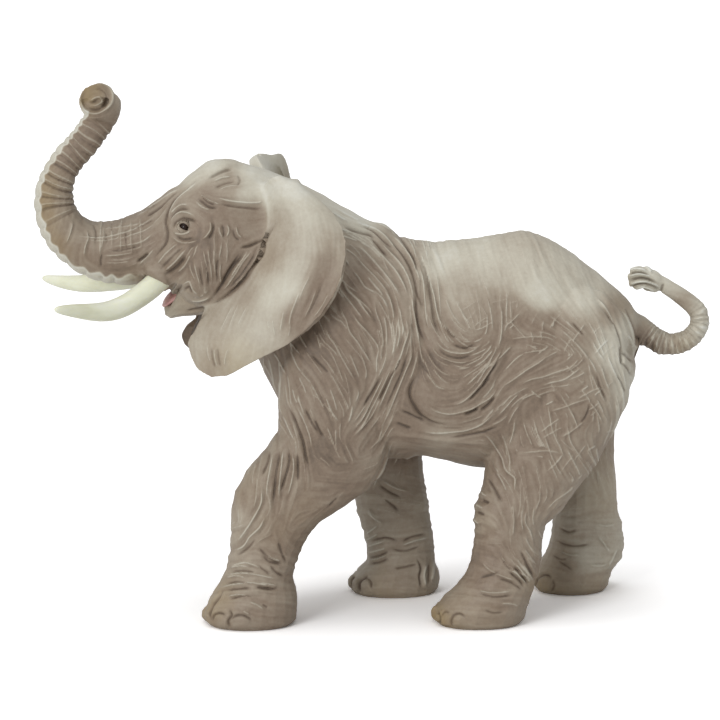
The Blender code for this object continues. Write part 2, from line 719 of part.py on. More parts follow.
def make_torso_body(collection, helpers):
    """Both halves of the torso as one solid, with its four stumps."""
    rings = rings_of(smooth_rows(torso_sections(), 3), TORSO_SIDES, TORSO_SQUARENESS)
    body = loft("torso_body", fleshed(rings), collection)
    level = seam_height() + CLEARANCE / 2
    for name in LEGS:
        stump = make_leg_loft(name, "stump", helpers)
        combine(stump, wide_box("below_seam", -LEG_HEIGHT, level, helpers), "DIFFERENCE")
        combine(body, stump, "UNION")
    combine(body, make_cavity(helpers, helpers), "DIFFERENCE")
    for name in LEGS:
        middle = seam_section(name)
        root = middle + np.array([0, 0, -CUT_OVERRUN_LENGTH])
        end = middle + np.array([0, 0, LEG_PEG_LENGTH + CLEARANCE])
        socket = peg("leg_socket", root, end, LEG_PEG_DIAMETER + 2 * CLEARANCE, helpers)
        combine(body, socket, "DIFFERENCE")
    combine(body, make_tail_loft("tail_seat", helpers, CLEARANCE), "DIFFERENCE")
    root, end = tail_peg_ends(CLEARANCE)
    socket = peg("tail_socket", root, end, TAIL_PEG_DIAMETER + 2 * CLEARANCE, helpers)
    combine(body, socket, "DIFFERENCE")
    return body


def make_torso_halves(collection, helpers):
    """The torso cut down the middle plane: pins on the left half, sockets in the right."""
    body = make_torso_body(helpers, helpers)
    reach = TORSO_LENGTH * 2
    halves = {}
    for name, side in (("torso_left_half", -1), ("torso_right_half", 1)):
        half = copy_of(body, name, collection)
        corners = [(-reach, -side * TORSO_WIDTH * 2, -LEG_HEIGHT)]
        corners.append((reach, side * CLEARANCE / 2, BACK_HEIGHT * 2))
        low = np.min(corners, axis=0)
        high = np.max(corners, axis=0)
        combine(half, block("other_side", low, high, helpers), "DIFFERENCE")
        halves[name] = half
    bpy.data.objects.remove(body, do_unlink=True)
    for along, height in BOSS_SHARES:
        middle = torso_point(along, 0, height)
        root = middle - np.array([0, CLEARANCE + CUT_OVERRUN_LENGTH, 0])
        end = middle + np.array([0, PIN_LENGTH, 0])
        combine(halves["torso_left_half"], peg("pin", root, end, PIN_DIAMETER, helpers), "UNION")
        deep = end + np.array([0, CLEARANCE, 0])
        socket = peg("pin_socket", root, deep, PIN_DIAMETER + 2 * CLEARANCE, helpers)
        combine(halves["torso_right_half"], socket, "DIFFERENCE")
    return halves


def trunk_plug_ends(extra):
    """The ends of the trunk's plug, along the head from the seam."""
    seam = np.array(head_sections()[-1])
    before = np.array(head_sections()[-2])
    middle = (seam[0:3] + seam[3:6]) / 2
    way = (before[0:3] + before[3:6]) / 2 - middle
    way /= np.linalg.norm(way)
    return middle - way * CUT_OVERRUN_LENGTH, middle + way * (TRUNK_PLUG_LENGTH + extra)


def tail_path():
    """The tail's centreline and diameters."""
    root = torso_point(TAIL_ROOT_SHARES[0], 0, TAIL_ROOT_SHARES[1])
    rows = []
    for back, height, diameter in TAIL_SHARES:
        rows.append(
            [root[0] + back * TAIL_LENGTH, 0.0, root[2] + height * TAIL_HEIGHT, diameter * TAIL_DIAMETER]
        )
    return np.array(rows)


def tail_peg_ends(extra):
    path = tail_path()
    way = path[0, :3] - path[1, :3]
    way /= np.linalg.norm(way)
    return path[0, :3] - way * CUT_OVERRUN_LENGTH, path[0, :3] + way * (TAIL_PEG_LENGTH + extra)


def round_sections(path):
    """Sections of a round tube along a path of points and diameters in the middle plane."""
    ways = np.gradient(path[:, :3], axis=0)
    ways /= np.linalg.norm(ways, axis=1)[:, None]
    made = []
    for row, way in zip(path, ways):
        side = np.cross(way, np.array([0.0, 1.0, 0.0]))
        side /= np.linalg.norm(side)
        radius = row[3] / 2
        made.append([*(row[:3] + side * radius), *(row[:3] - side * radius), radius, 0.0])
    return made


def tusk_path(side):
    root = head_point(TUSK_ROOT_SHARES[0], side * TUSK_ROOT_SHARES[2], TUSK_ROOT_SHARES[1])
    length = TUSK_LENGTH_SHARES[side] * TUSK_LENGTH
    rows = []
    for reach, drop, splay, diameter in TUSK_SHARES:
        place = root + np.array(
            [-reach * length, side * splay * TUSK_SPLAY_WIDTH, -drop * TUSK_DROP_HEIGHT]
        )
        rows.append([*place, diameter * TUSK_DIAMETER])
    path = smooth_rows(rows, 2)
    way = path[0, :3] - path[1, :3]
    way /= np.linalg.norm(way)
    buried = np.array([*(path[0, :3] + way * TUSK_ROOT_LENGTH), path[0, 3]])
    return np.vstack([buried, path])


def make_tusk(name, side, collection, swell=0.0):
    sections = round_sections(tusk_path(side))
    rings = rings_of(sections, SMALL_SIDES, ROUND, swell, (swell, swell))
    return loft(name, rings, collection)


def make_trunk(collection, helpers):
    """The trunk, with its plug and the two nostrils in its flat tip."""
    sections = trunk_sections()
    seam = np.array(sections[0])
    ahead = np.array(sections[1]) - seam
    ahead[6:8] = 0.0
    length = np.linalg.norm((ahead[0:3] + ahead[3:6]) / 2)
    sections[0] = seam + (np.array(sections[1]) - seam) * CLEARANCE / length
    smooth = smooth_rows(sections, 2)
    trunk = loft("trunk", rings_of(smooth, TRUNK_SIDES, TRUNK_SQUARENESS), collection)
    root, end = trunk_plug_ends(0.0)
    combine(trunk, peg("trunk_plug", root, end, TRUNK_PLUG_DIAMETER, helpers), "UNION")
    tip = smooth[-1]
    before = smooth[-2]
    middle = (tip[0:3] + tip[3:6]) / 2
    way = middle - (before[0:3] + before[3:6]) / 2
    way /= np.linalg.norm(way)
    apart = (tip[0:3] - tip[3:6]) / np.linalg.norm(tip[0:3] - tip[3:6])
    spacing = NOSTRIL_SPACING_SHARE * TRUNK_ROOT_WIDTH / 2
    for side in (-1, 1):
        mouth = middle + apart * side * spacing + way * CUT_OVERRUN_LENGTH
        floor = mouth - way * (CUT_OVERRUN_LENGTH + NOSTRIL_DEPTH_SHARE * TRUNK_ROOT_WIDTH)
        nostril = peg("nostril", mouth, floor, NOSTRIL_DIAMETER_SHARE * TRUNK_ROOT_WIDTH, helpers)
        combine(trunk, nostril, "DIFFERENCE")
    return trunk


def ear_point(row, column, side):
    """A point of the ear's outer face, for a row of root, middle and rim and a column from 0 to 1."""
    root, middle, rim = row
    weights = (
        (1 - column) * (1 - 2 * column),
        4 * column * (1 - column),
        column * (2 * column - 1),
    )
    back, height, flare = (
        sum(weight * place[k] for weight, place in zip(weights, (root, middle, rim)))
        for k in range(3)
    )
    origin = head_point(EAR_ORIGIN_SHARES[0], 0, EAR_ORIGIN_SHARES[1])
    turn = math.radians(EAR_TURN_DEG[side])
    behind = (back - root[0]) * EAR_LENGTH
    beside = (flare - root[2]) * EAR_FLARE_WIDTH
    along = root[0] * EAR_LENGTH + behind * math.cos(turn) - beside * math.sin(turn)
    out = HEAD_WIDTH / 2 + root[2] * EAR_FLARE_WIDTH
    out += beside * math.cos(turn) + behind * math.sin(turn)
    return origin + np.array([along, side * out, height * EAR_HEIGHT])


def make_ear(name, side, collection, swell=0.0):
    """One ear: a bent grid given thickness, with a tab along its root that fits the head's slot."""
    flat = [np.concatenate(row) for row in EAR_SHARES]
    steps = 4
    fine = smooth_rows(flat, steps)
    picks = np.linspace(0, len(fine) - 1, EAR_ROWS).round().astype(int)
    rows = [fine[k].reshape(3, 3) for k in picks]
    front = []
    for number, row in enumerate(rows):
        line = [ear_point(row, column, side) for column in np.linspace(0, 1, EAR_COLUMNS)]
        root_share = number / (len(rows) - 1)
        fade = min(1.0, (1 - root_share) / (1 - EAR_TAB_ROW_SHARE))
        tab = EAR_TAB_DEPTH * max(EAR_TAB_END_SHARE, fade)
        inward = np.array([-tab / 2, -side * tab, 0.0])
        front.append([line[0] + inward, *line])
    front = np.array(front)
    down = np.gradient(front, axis=0)
    along = np.gradient(front, axis=1)
    facing = np.cross(along, down)
    facing /= np.linalg.norm(facing, axis=2)[:, :, None]
    if facing[len(rows) // 2, EAR_COLUMNS // 2, 1] * side < 0:
        facing = -facing
    if swell:
        front = front + facing * swell
        front[:, 0] -= along[:, 0] / np.linalg.norm(along[:, 0], axis=1)[:, None] * swell
        front[:, -1] += along[:, -1] / np.linalg.norm(along[:, -1], axis=1)[:, None] * swell
        front[0] -= down[0] / np.linalg.norm(down[0], axis=1)[:, None] * swell
        front[-1] += down[-1] / np.linalg.norm(down[-1], axis=1)[:, None] * swell
    back = front - facing * (EAR_THICKNESS + 2 * swell)
    return sheet_solid(name, front, back, collection)


def sheet_solid(name, front, back, collection):
    """A closed sheet between two grids of points, its edge rounded by one middle row."""
    shape = bmesh.new()
    faces = [[[shape.verts.new(p) for p in line] for line in side] for side in (front, back)]
    rows = len(front)
    columns = len(front[0])
    for grid in faces:
        for i in range(rows - 1):
            for j in range(columns - 1):
                shape.faces.new(
                    (grid[i][j], grid[i][j + 1], grid[i + 1][j + 1], grid[i + 1][j])
                )
    border = [(0, j) for j in range(columns)]
    border += [(i, columns - 1) for i in range(1, rows)]
    border += [(rows - 1, j) for j in range(columns - 2, -1, -1)]
    border += [(i, 0) for i in range(rows - 2, 0, -1)]
    for here, there in zip(border, border[1:] + border[:1]):
        shape.faces.new(
            (
                faces[0][here[0]][here[1]],
                faces[0][there[0]][there[1]],
                faces[1][there[0]][there[1]],
                faces[1][here[0]][here[1]],
            )
        )
    bmesh.ops.recalc_face_normals(shape, faces=shape.faces)
    mesh = bpy.data.meshes.new(name)
    shape.to_mesh(mesh)
    shape.free()
    return add_mesh(name, mesh, collection)


def jaw_sections():
    lip = head_point(JAW_LIP_SHARES[0], 0, JAW_LIP_SHARES[1])
    made = []
    for top_x, top_z, bottom_x, bottom_z, width in JAW_SHARES:
        top = lip + np.array([top_x * JAW_LENGTH, 0, top_z * JAW_DEPTH])
        bottom = lip + np.array([bottom_x * JAW_LENGTH, 0, bottom_z * JAW_DEPTH])
        made.append([*top, *bottom, width * JAW_WIDTH, 0.0])
    return made


def jaw_peg_ends(extra):
    """A peg that stands on the jaw's back and goes up into the head."""
    lip = head_point(JAW_LIP_SHARES[0], 0, JAW_LIP_SHARES[1])
    foot = lip + np.array([JAW_PEG_BACK_SHARE * JAW_LENGTH, 0, JAW_DEPTH / 2])
    return foot, foot + np.array([0, 0, JAW_PEG_LENGTH + extra])


def tongue_sections():
    tip = head_point(TONGUE_TIP_SHARES[0], 0, TONGUE_TIP_SHARES[1])
    made = []
    for back, height, width, thickness in TONGUE_SHARES:
        middle = tip + np.array([back * TONGUE_LENGTH, 0, height * TONGUE_THICKNESS])
        half = np.array([0, 0, thickness * TONGUE_THICKNESS])
        made.append([*(middle + half), *(middle - half), width * TONGUE_WIDTH, 0.0])
    return made


def make_tongue(name, collection, swell=0.0):
    rings = rings_of(tongue_sections(), SMALL_SIDES, ROUND, swell, (swell, swell))
    return loft(name, rings, collection)


def make_head(collection, helpers):
    """The head, solid, with its neck plug behind and a socket for each piece that it carries."""
    seam = np.array(head_sections()[0])
    sections = head_sections()
    ahead = np.array(sections[1]) - seam
    ahead_length = np.linalg.norm((ahead[0:3] + ahead[3:6]) / 2)
    sections[0] = seam + ahead * CLEARANCE / ahead_length
    head = loft(
        "head", rings_of(smooth_rows(sections, 2), HEAD_SIDES, HEAD_SQUARENESS), collection
    )
    plug = rings_of(
        neck_plug_sections(NECK_PLUG_LENGTH),
        HEAD_SIDES,
        TORSO_SQUARENESS,
        -WALL - CLEARANCE,
        (CUT_OVERRUN_LENGTH, 0.0),
    )
    combine(head, loft("neck_plug", plug, helpers), "UNION")
    root, end = trunk_plug_ends(CLEARANCE)
    combine(
        head,
        peg("trunk_socket", root, end, TRUNK_PLUG_DIAMETER + 2 * CLEARANCE, helpers),
        "DIFFERENCE",
    )
    for side in (-1, 1):
        combine(head, make_tusk("tusk_socket", side, helpers, CLEARANCE), "DIFFERENCE")
        combine(head, make_ear("ear_slot", side, helpers, EAR_CLEARANCE), "DIFFERENCE")
        place = eye_place(side)
        socket = ball("eye_socket", place, EYE_DIAMETER + 2 * CLEARANCE, helpers)
        combine(head, socket, "DIFFERENCE")
    ends = (CLEARANCE, CLEARANCE)
    jaw_shape = rings_of(jaw_sections(), SMALL_SIDES, ROUND, CLEARANCE, ends)
    combine(head, loft("jaw_seat", jaw_shape, helpers), "DIFFERENCE")
    root, end = jaw_peg_ends(CLEARANCE)
    socket = peg("jaw_socket", root, end, JAW_PEG_DIAMETER + 2 * CLEARANCE, helpers)
    combine(head, socket, "DIFFERENCE", "MANIFOLD")
    combine(head, make_tongue("tongue_seat", helpers, CLEARANCE), "DIFFERENCE")
    return head


def eye_place(side):
    """The eye's middle, a little inside the head's skin."""
    rings = rings_of(smooth_rows(head_sections(), 8), FINE_SIDES, HEAD_SQUARENESS)
    ring = np.array(rings[round(EYE_STATION_SHARE * (len(rings) - 1))])
    number = round(EYE_ANGLE_DEG / 360 * FINE_SIDES)
    if side < 0:
        number = FINE_SIDES // 2 - 1 - number
    inward = ring.mean(axis=0) - ring[number]
    inward /= np.linalg.norm(inward)
    return ring[number] + inward * EYE_DEPTH_SHARE * EYE_DIAMETER


def make_jaw(collection, helpers):
    jaw = loft("lower_jaw", rings_of(jaw_sections(), SMALL_SIDES, ROUND), collection)
    combine(jaw, make_tongue("tongue_bed", helpers, CLEARANCE), "DIFFERENCE")
    root, end = jaw_peg_ends(0.0)
    combine(jaw, peg("jaw_peg", root, end, JAW_PEG_DIAMETER, helpers), "UNION")
    return jaw


def make_tail_loft(name, collection, swell=0.0):
    sections = round_sections(smooth_rows(tail_path(), 2))
    rings = rings_of(sections, SMALL_SIDES, ROUND, swell, (swell, swell))
    return loft(name, rings, collection)


def make_tail(collection, helpers):
    """The tail, curled forward over itself, with its peg and its tuft of hair in one moulding."""
    tail = make_tail_loft("tail", collection)
    path = tail_path()
    root, end = tail_peg_ends(0.0)
    combine(tail, peg("tail_peg", root, end, TAIL_PEG_DIAMETER, helpers), "UNION")
    way = path[-1, :3] - path[-2, :3]
    way /= np.linalg.norm(way)
    tuft = []
    for along, rise, diameter in TUFT_SHARES:
        place = path[-1, :3] + way * (along - 0.2) * TUFT_LENGTH
        place = place + np.array([0, 0, rise * TUFT_DIAMETER])
        tuft.append([*place, diameter * TUFT_DIAMETER])
    rings = rings_of(round_sections(smooth_rows(tuft, 2)), SMALL_SIDES, ROUND)
    combine(tail, loft("tuft", rings, helpers), "UNION")
    return tail


def settle_on_origin(pieces):
    """Moves the whole figure so that its box stands on the origin, centred."""
    bpy.context.view_layer.update()
    points = np.array([v.co for piece in pieces for v in piece.data.vertices])
    low = points.min(axis=0)
    high = points.max(axis=0)
    shift = Vector((-(low[0] + high[0]) / 2, -(low[1] + high[1]) / 2, -low[2]))
    for piece in pieces:
        for vertex in piece.data.vertices:
            vertex.co += shift
    return shift


def finish(piece, material):
    piece.data.materials.clear()
    piece.data.materials.append(material)
    piece.data.shade_smooth()
    piece.data.set_sharp_from_angle(angle=math.radians(40))


def main():
    clear_scene()
    figure = new_collection("toy_elephant")
    helpers = new_collection("cutters")
    helpers.hide_render = True
    skin = new_material("skin", SKIN_COLOUR, 0.62)
    ear_skin = new_material("ear_skin", EAR_COLOUR, 0.62)
    ivory = new_material("ivory", IVORY_COLOUR, 0.4)
    pink = new_material("tongue_pink", TONGUE_COLOUR, 0.5)
    black = new_material("eye_black", EYE_COLOUR, 0.12)

    pieces = {}
    for name, half in make_torso_halves(figure, helpers).items():
        pieces[name] = (half, skin)
    for name in LEGS:
        pieces[name] = (make_leg(name, figure, helpers), skin)
    pieces["head"] = (make_head(figure, helpers), skin)
    pieces["trunk"] = (make_trunk(figure, helpers), skin)
    pieces["lower_jaw"] = (make_jaw(figure, helpers), skin)
    pieces["tongue"] = (make_tongue("tongue", figure), pink)
    pieces["tail"] = (make_tail(figure, helpers), skin)
    for side, word in ((-1, "left"), (1, "right")):
        pieces[f"{word}_ear"] = (make_ear(f"{word}_ear", side, figure), ear_skin)
        pieces[f"{word}_tusk"] = (make_tusk(f"{word}_tusk", side, figure), ivory)
        eye = ball(f"{word}_eye", eye_place(side), EYE_DIAMETER, figure)
        pieces[f"{word}_eye"] = (eye, black)
    for piece, material in pieces.values():
        finish(piece, material)
    shift = settle_on_origin([piece for piece, _ in pieces.values()])
    print("moved onto the origin by", [round(x, 5) for x in shift])


main()
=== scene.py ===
# %% [markdown]
# # A toy elephant with its trunk raised
# The real object is a moulded vinyl figure of an African elephant, painted by hand and about
# 21 cm long. Its looks live in its skin: folds, wrinkles, a brown wash that settles in the low
# places and a pale paint that was brushed over the high ones. The solids of the figure come first,
# as a fixed frame, and everything in this file is built on them.

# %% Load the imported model
import math

import bmesh
import bpy
import numpy as np
from mathutils import Matrix, Vector
from mathutils.bvhtree import BVHTree


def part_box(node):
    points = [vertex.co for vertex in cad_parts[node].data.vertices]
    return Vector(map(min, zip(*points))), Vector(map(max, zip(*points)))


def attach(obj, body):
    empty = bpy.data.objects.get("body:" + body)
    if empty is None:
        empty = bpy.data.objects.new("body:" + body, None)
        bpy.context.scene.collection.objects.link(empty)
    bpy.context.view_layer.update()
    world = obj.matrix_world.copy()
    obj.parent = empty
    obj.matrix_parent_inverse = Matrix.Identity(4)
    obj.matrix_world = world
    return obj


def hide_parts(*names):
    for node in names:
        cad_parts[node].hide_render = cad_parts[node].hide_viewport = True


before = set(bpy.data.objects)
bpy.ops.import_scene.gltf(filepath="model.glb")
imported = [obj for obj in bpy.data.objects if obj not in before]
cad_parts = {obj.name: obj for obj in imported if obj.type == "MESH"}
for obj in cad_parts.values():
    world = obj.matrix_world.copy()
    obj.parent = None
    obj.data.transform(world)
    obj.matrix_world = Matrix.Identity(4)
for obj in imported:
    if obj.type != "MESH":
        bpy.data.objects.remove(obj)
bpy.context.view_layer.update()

MM = 0.001
bpy.ops.object.select_all(action="DESELECT")

# %% [markdown]
# ## Camera, floor and lamps
# A long lens from far away keeps the figure free of distortion, as in a catalogue picture. The
# camera stands on the animal's left, a little in front and about ten degrees above level. The floor
# and the world show white to the camera, while the floor still takes the soft shadow.

# %% Camera
PICTURE = 720
SENSOR = 36
LENS = 256
CAMERA_DISTANCE = 1.6
CAMERA_AZIMUTH = math.radians(-3.875)
CAMERA_ELEVATION = math.radians(10.5)
CAMERA_TARGET = Vector((-0.004375, -0.005, 0.078625))

level = math.cos(CAMERA_ELEVATION)
backwards = Vector(
    (math.sin(CAMERA_AZIMUTH) * level, -math.cos(CAMERA_AZIMUTH) * level, math.sin(CAMERA_ELEVATION))
)
camera_data = bpy.data.cameras.new("camera")
camera = bpy.data.objects.new("camera", camera_data)
bpy.context.scene.collection.objects.link(camera)
bpy.context.scene.camera = camera
camera_data.sensor_width = SENSOR
camera_data.lens = LENS
camera_data.clip_start = 0.05
camera_data.clip_end = 20
camera.location = CAMERA_TARGET + backwards * CAMERA_DISTANCE
camera.rotation_mode = "QUATERNION"
camera.rotation_quaternion = (-backwards).to_track_quat("-Z", "Y")
bpy.context.view_layer.update()
print("camera at", [round(v, 3) for v in camera.location])


# %% Floor and white surround
def feed(tree, socket, value):
    """Fills a socket with a number or a colour, or links another socket to it."""
    if isinstance(value, bpy.types.NodeSocket):
        tree.links.new(value, socket)
    else:
        socket.default_value = value


def add(tree, kind, inputs, output=0, **settings):
    """Adds a shader node, fills its inputs by name or number and gives one of its outputs."""
    node = tree.nodes.new("ShaderNode" + kind)
    for setting, value in settings.items():
        setattr(node, setting, value)
    for name, value in inputs.items():
        feed(tree, node.inputs[name], value)
    return node.outputs[output] if node.outputs else node


def seen_or_not(tree, lights, seen, out_node):
    """One shader lights the object and another is what the camera sees."""
    camera_ray = add(tree, "LightPath", {}, "Is Camera Ray")
    add(tree, out_node, {"Surface": add(tree, "MixShader", {0: camera_ray, 1: lights, 2: seen})})


FLOOR_SIZE = 16
FLOOR_GREY = (0.85, 0.85, 0.85, 1)           # what the object's light meets
FLOOR_SEEN = (1.38, 1.38, 1.39, 1)           # what the camera sees, white outside the shadow
WHITE = (1, 1, 1, 1)
WORLD_FILL = 0.54
SURROUND_WHITE = 1.0

bpy.ops.mesh.primitive_plane_add(size=FLOOR_SIZE, location=(0, 0, 0))
floor = bpy.context.active_object
floor.name = "studio_floor"
floor_material = bpy.data.materials.new("studio_floor_white")
floor_material.use_nodes = True
tree = floor_material.node_tree
tree.nodes.clear()
shades = [add(tree, "BsdfDiffuse", {"Color": colour}) for colour in (FLOOR_GREY, FLOOR_SEEN)]
seen_or_not(tree, *shades, "OutputMaterial")
floor.data.materials.append(floor_material)
bpy.ops.object.select_all(action="DESELECT")

world = bpy.data.worlds.new("studio")
bpy.context.scene.world = world
world.use_nodes = True
tree = world.node_tree
tree.nodes.clear()
fills = (WORLD_FILL, SURROUND_WHITE)
shades = [add(tree, "Background", {"Color": WHITE, "Strength": fill}) for fill in fills]
seen_or_not(tree, *shades, "OutputWorld")
print("floor and surround:", floor_material.name, world.name)


# %% Lamps
def soft_lamp(name, comes_from, breadth, strength):
    """A distant lamp, so the whole floor is lit alike. Its breadth in degrees softens the shadow."""
    data = bpy.data.lights.new(name, "SUN")
    data.angle = math.radians(breadth)
    data.energy = strength
    lamp = bpy.data.objects.new(name, data)
    bpy.context.scene.collection.objects.link(lamp)
    lamp.rotation_mode = "QUATERNION"
    lamp.rotation_quaternion = (-Vector(comes_from)).to_track_quat("-Z", "Y")
    return lamp


soft_lamp("lamp_above", (-0.15, 0.0, 1.0), 50, 0.80)
soft_lamp("lamp_front", (-0.55, -0.74, 0.38), 25, 1.30)
bpy.context.scene.view_settings.view_transform = "Standard"

# %% [markdown]
# ## One skin over the moulded pieces
# On the real figure the pieces are glued and the seams filled before painting, so the skin runs
# over head, body and legs without a break. Copies of the moulded pieces swell by a hair until their
# gaps close. A voxel remesh then fuses them into one even mesh, which shrinks back by the same hair.
# A sculptor works in the same way, and an even mesh takes wrinkles anywhere.

# %% Copy, swell and fuse
SKIN_NODES = [
    "torso_left_half", "torso_right_half", "head", "trunk", "lower_jaw", "front_left_leg",
    "front_right_leg", "rear_left_leg", "rear_right_leg", "tail", "left_ear", "right_ear",
]
SWELL = 0.35 * MM
CELL = 0.37 * MM


def select_only(*objects):
    bpy.ops.object.select_all(action="DESELECT")
    for one in objects:
        one.select_set(True)
    bpy.context.view_layer.objects.active = objects[0]


def copy_of_node(name, new_name):
    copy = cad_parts[name].copy()
    copy.data = copy.data.copy()
    copy.parent = None
    for key in list(copy.keys()):
        del copy[key]
    copy.name = new_name
    bpy.context.scene.collection.objects.link(copy)
    select_only(copy)
    bpy.ops.object.mode_set(mode="EDIT")
    bpy.ops.mesh.select_all(action="SELECT")
    bpy.ops.mesh.remove_doubles(threshold=0.001 * MM)
    bpy.ops.object.mode_set(mode="OBJECT")
    return copy


def ellipsoid(sizes, turn, place):
    """A stretched ball, turned and then put in its place."""
    bpy.ops.object.select_all(action="DESELECT")
    bpy.ops.mesh.primitive_uv_sphere_add(segments=32, ring_count=16, radius=1)
    ball = bpy.context.active_object
    ball.data.transform(Matrix.Diagonal((*sizes, 1)))
    ball.data.transform(turn)
    ball.data.transform(Matrix.Translation(place))
    return ball


swollen = []
for node in SKIN_NODES:
    copy = copy_of_node(node, "skin_copy_" + node)
    swell = copy.modifiers.new("swell", "DISPLACE")
    swell.mid_level = 0
    swell.strength = SWELL
    bpy.ops.object.modifier_apply(modifier="swell")
    swollen.append(copy)
# The bores of the nostrils are filled, because the real tip shows a shallow fold in their place
TIP_FACE = Vector((-87.1, -14.2, 161.85)) * MM
TIP_FACING = Vector((0.09, -0.94, 0.34)).normalized()
TIP_FILL = (4.0 * MM, 4.0 * MM, 2.1 * MM)
tip_turn = TIP_FACING.to_track_quat("Z", "Y").to_matrix().to_4x4()
swollen.append(ellipsoid(TIP_FILL, tip_turn, TIP_FACE - TIP_FACING * TIP_FILL[2]))
# The upper lip hangs over the root of each tusk as a thick fold
LIP_FOLD = (6.0 * MM, 5.5 * MM, 3.2 * MM)
LIP_TURN = math.radians(32)
LIP_FROM_TUSK = Vector((1.8, 1.0, 2.5)) * MM      # right, into the head and up from its axis
TUSK_UNDER_LIP = -68.5 * MM                       # where along the head the fold crosses the tusk
SLICE_HALF = 2 * MM
for side, inward in (("left", 1), ("right", -1)):
    vertices = [v.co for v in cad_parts[side + "_tusk"].data.vertices]
    under = [co for co in vertices if abs(co.x - TUSK_UNDER_LIP) < SLICE_HALF]
    axis = sum(under, Vector()) / len(under)
    moved = Vector((LIP_FROM_TUSK.x, inward * LIP_FROM_TUSK.y, LIP_FROM_TUSK.z))
    swollen.append(ellipsoid(LIP_FOLD, Matrix.Rotation(LIP_TURN, 4, "Y"), axis + moved))
    print(side, "lip fold over the tusk at", [round(c / MM, 1) for c in axis])
select_only(*swollen)
bpy.ops.object.join()
skin = bpy.context.view_layer.objects.active
skin.name = "whole_skin"
remesh = skin.modifiers.new("fuse", "REMESH")
remesh.mode = "VOXEL"
remesh.voxel_size = CELL
bpy.ops.object.modifier_apply(modifier="fuse")
# Specks that the remesh leaves apart from the skin are dropped
bpy.ops.mesh.separate(type="LOOSE")
specks = sorted(bpy.context.selected_objects, key=lambda part: len(part.data.polygons))
skin = specks.pop()
print("skin:", len(skin.data.polygons), "faces, specks:", [len(s.data.polygons) for s in specks])
for speck in specks:
    bpy.data.objects.remove(speck)


# %% The skin as plain arrays
def read_mesh(obj):
    mesh = obj.data
    points = np.zeros(len(mesh.vertices) * 3, np.float32)
    mesh.vertices.foreach_get("co", points)
    corners = np.zeros(len(mesh.loops), np.int32)
    mesh.loops.foreach_get("vertex_index", corners)
    edges = np.zeros(len(mesh.edges) * 2, np.int32)
    mesh.edges.foreach_get("vertices", edges)
    return points.reshape(-1, 3).astype(float), corners.reshape(-1, 4), edges.reshape(-1, 2)


points, quads, edges = read_mesh(skin)
bpy.data.objects.remove(skin)
count = len(points)
degree = np.bincount(edges.ravel(), minlength=count).astype(float)


def neighbour_mean(values):
    """The mean of each vertex's neighbours, for one value or several at each vertex."""
    flat = values.reshape(count, -1)
    total = np.empty_like(flat)
    for k in range(flat.shape[1]):
        column = flat[:, k]
        total[:, k] = np.bincount(edges[:, 0], column[edges[:, 1]], count)
        total[:, k] += np.bincount(edges[:, 1], column[edges[:, 0]], count)
    return (total / degree[:, None]).reshape(values.shape)


def smoothed(values, times, keep=0.0):
    for _ in range(times):
        values = keep * values + (1 - keep) * neighbour_mean(values)
    return values


def normals_of(places):
    across = places[quads[:, 2]] - places[quads[:, 0]]
    along = places[quads[:, 3]] - places[quads[:, 1]]
    facing = np.cross(across, along)
    total = np.zeros((count, 3))
    for corner in range(4):
        for axis in range(3):
            total[:, axis] += np.bincount(quads[:, corner], facing[:, axis], count)
    return total / np.maximum(np.linalg.norm(total, axis=1), 1e-20)[:, None]


def relaxed(places, times):
    """Smooths without shrinking: each step in is followed by a slightly longer step out."""
    for _ in range(times):
        places = places + 0.5 * (neighbour_mean(places) - places)
        places = places - 0.52 * (neighbour_mean(places) - places)
    return places


points = relaxed(points, 4)
points = points - normals_of(points) * SWELL
points = relaxed(points, 2)
print("skin points:", count)

# %% [markdown]
# ## Which piece each point belongs to
# The skin is carved as one, then parted again into the pieces that the figure is moulded in. Each
# point asks the solids which of them lies nearest.

# %% Nearest solid for every point
trees = []
for node in SKIN_NODES:
    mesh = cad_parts[node].data
    trees.append(
        BVHTree.FromPolygons(
            [v.co[:] for v in mesh.vertices], [tuple(p.vertices) for p in mesh.polygons]
        )
    )
boxes = [[np.array(corner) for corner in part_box(node)] for node in SKIN_NODES]
NEAR = 1.2 * MM
owner_distance = np.full(count, 1.0)
owner = np.zeros(count, int)
for index, (search, (low, high)) in enumerate(zip(trees, boxes)):
    inside = np.where(((points > low - NEAR) & (points < high + NEAR)).all(axis=1))[0]
    for i in inside:
        hit = search.find_nearest(points[i], NEAR)
        if hit[3] is not None and hit[3] < owner_distance[i]:
            owner_distance[i] = hit[3]
            owner[i] = index
print("points far from any solid:", int((owner_distance > 0.9).sum()))
print({node: int((owner == k).sum()) for k, node in enumerate(SKIN_NODES)})

# %% [markdown]
# ## Drawing on the side view
# Wrinkles are easiest to place where they are seen: on the side view. Every skin point gets picture
# coordinates, in pixels of the 720 pixel frame, from the camera above. The far side borrows the
# mirrored view of the near side, so both sides carry the same folds. The two far legs stand apart
# from the near ones and are seen past them, so they keep their own place in the picture. The far
# ear is swung out, so its length is stretched back to the near ear's before it is mirrored.

# %% Picture coordinates of the skin
camera_axes = np.array(camera.rotation_quaternion.to_matrix())
camera_place = np.array(camera.location)
MIDDLE_Y = -4.91 * MM


def to_picture(places):
    local = (places - camera_place) @ camera_axes
    scale = LENS / SENSOR * PICTURE / -local[:, 2]
    return np.stack(
        [PICTURE / 2 + local[:, 0] * scale, PICTURE / 2 - local[:, 1] * scale], axis=1
    )


def step_up(values, low, high):
    share = np.clip((values - low) / (high - low), 0, 1)
    return share * share * (3 - 2 * share)


def owned_by(*nodes):
    return np.isin(owner, [SKIN_NODES.index(node) for node in nodes])


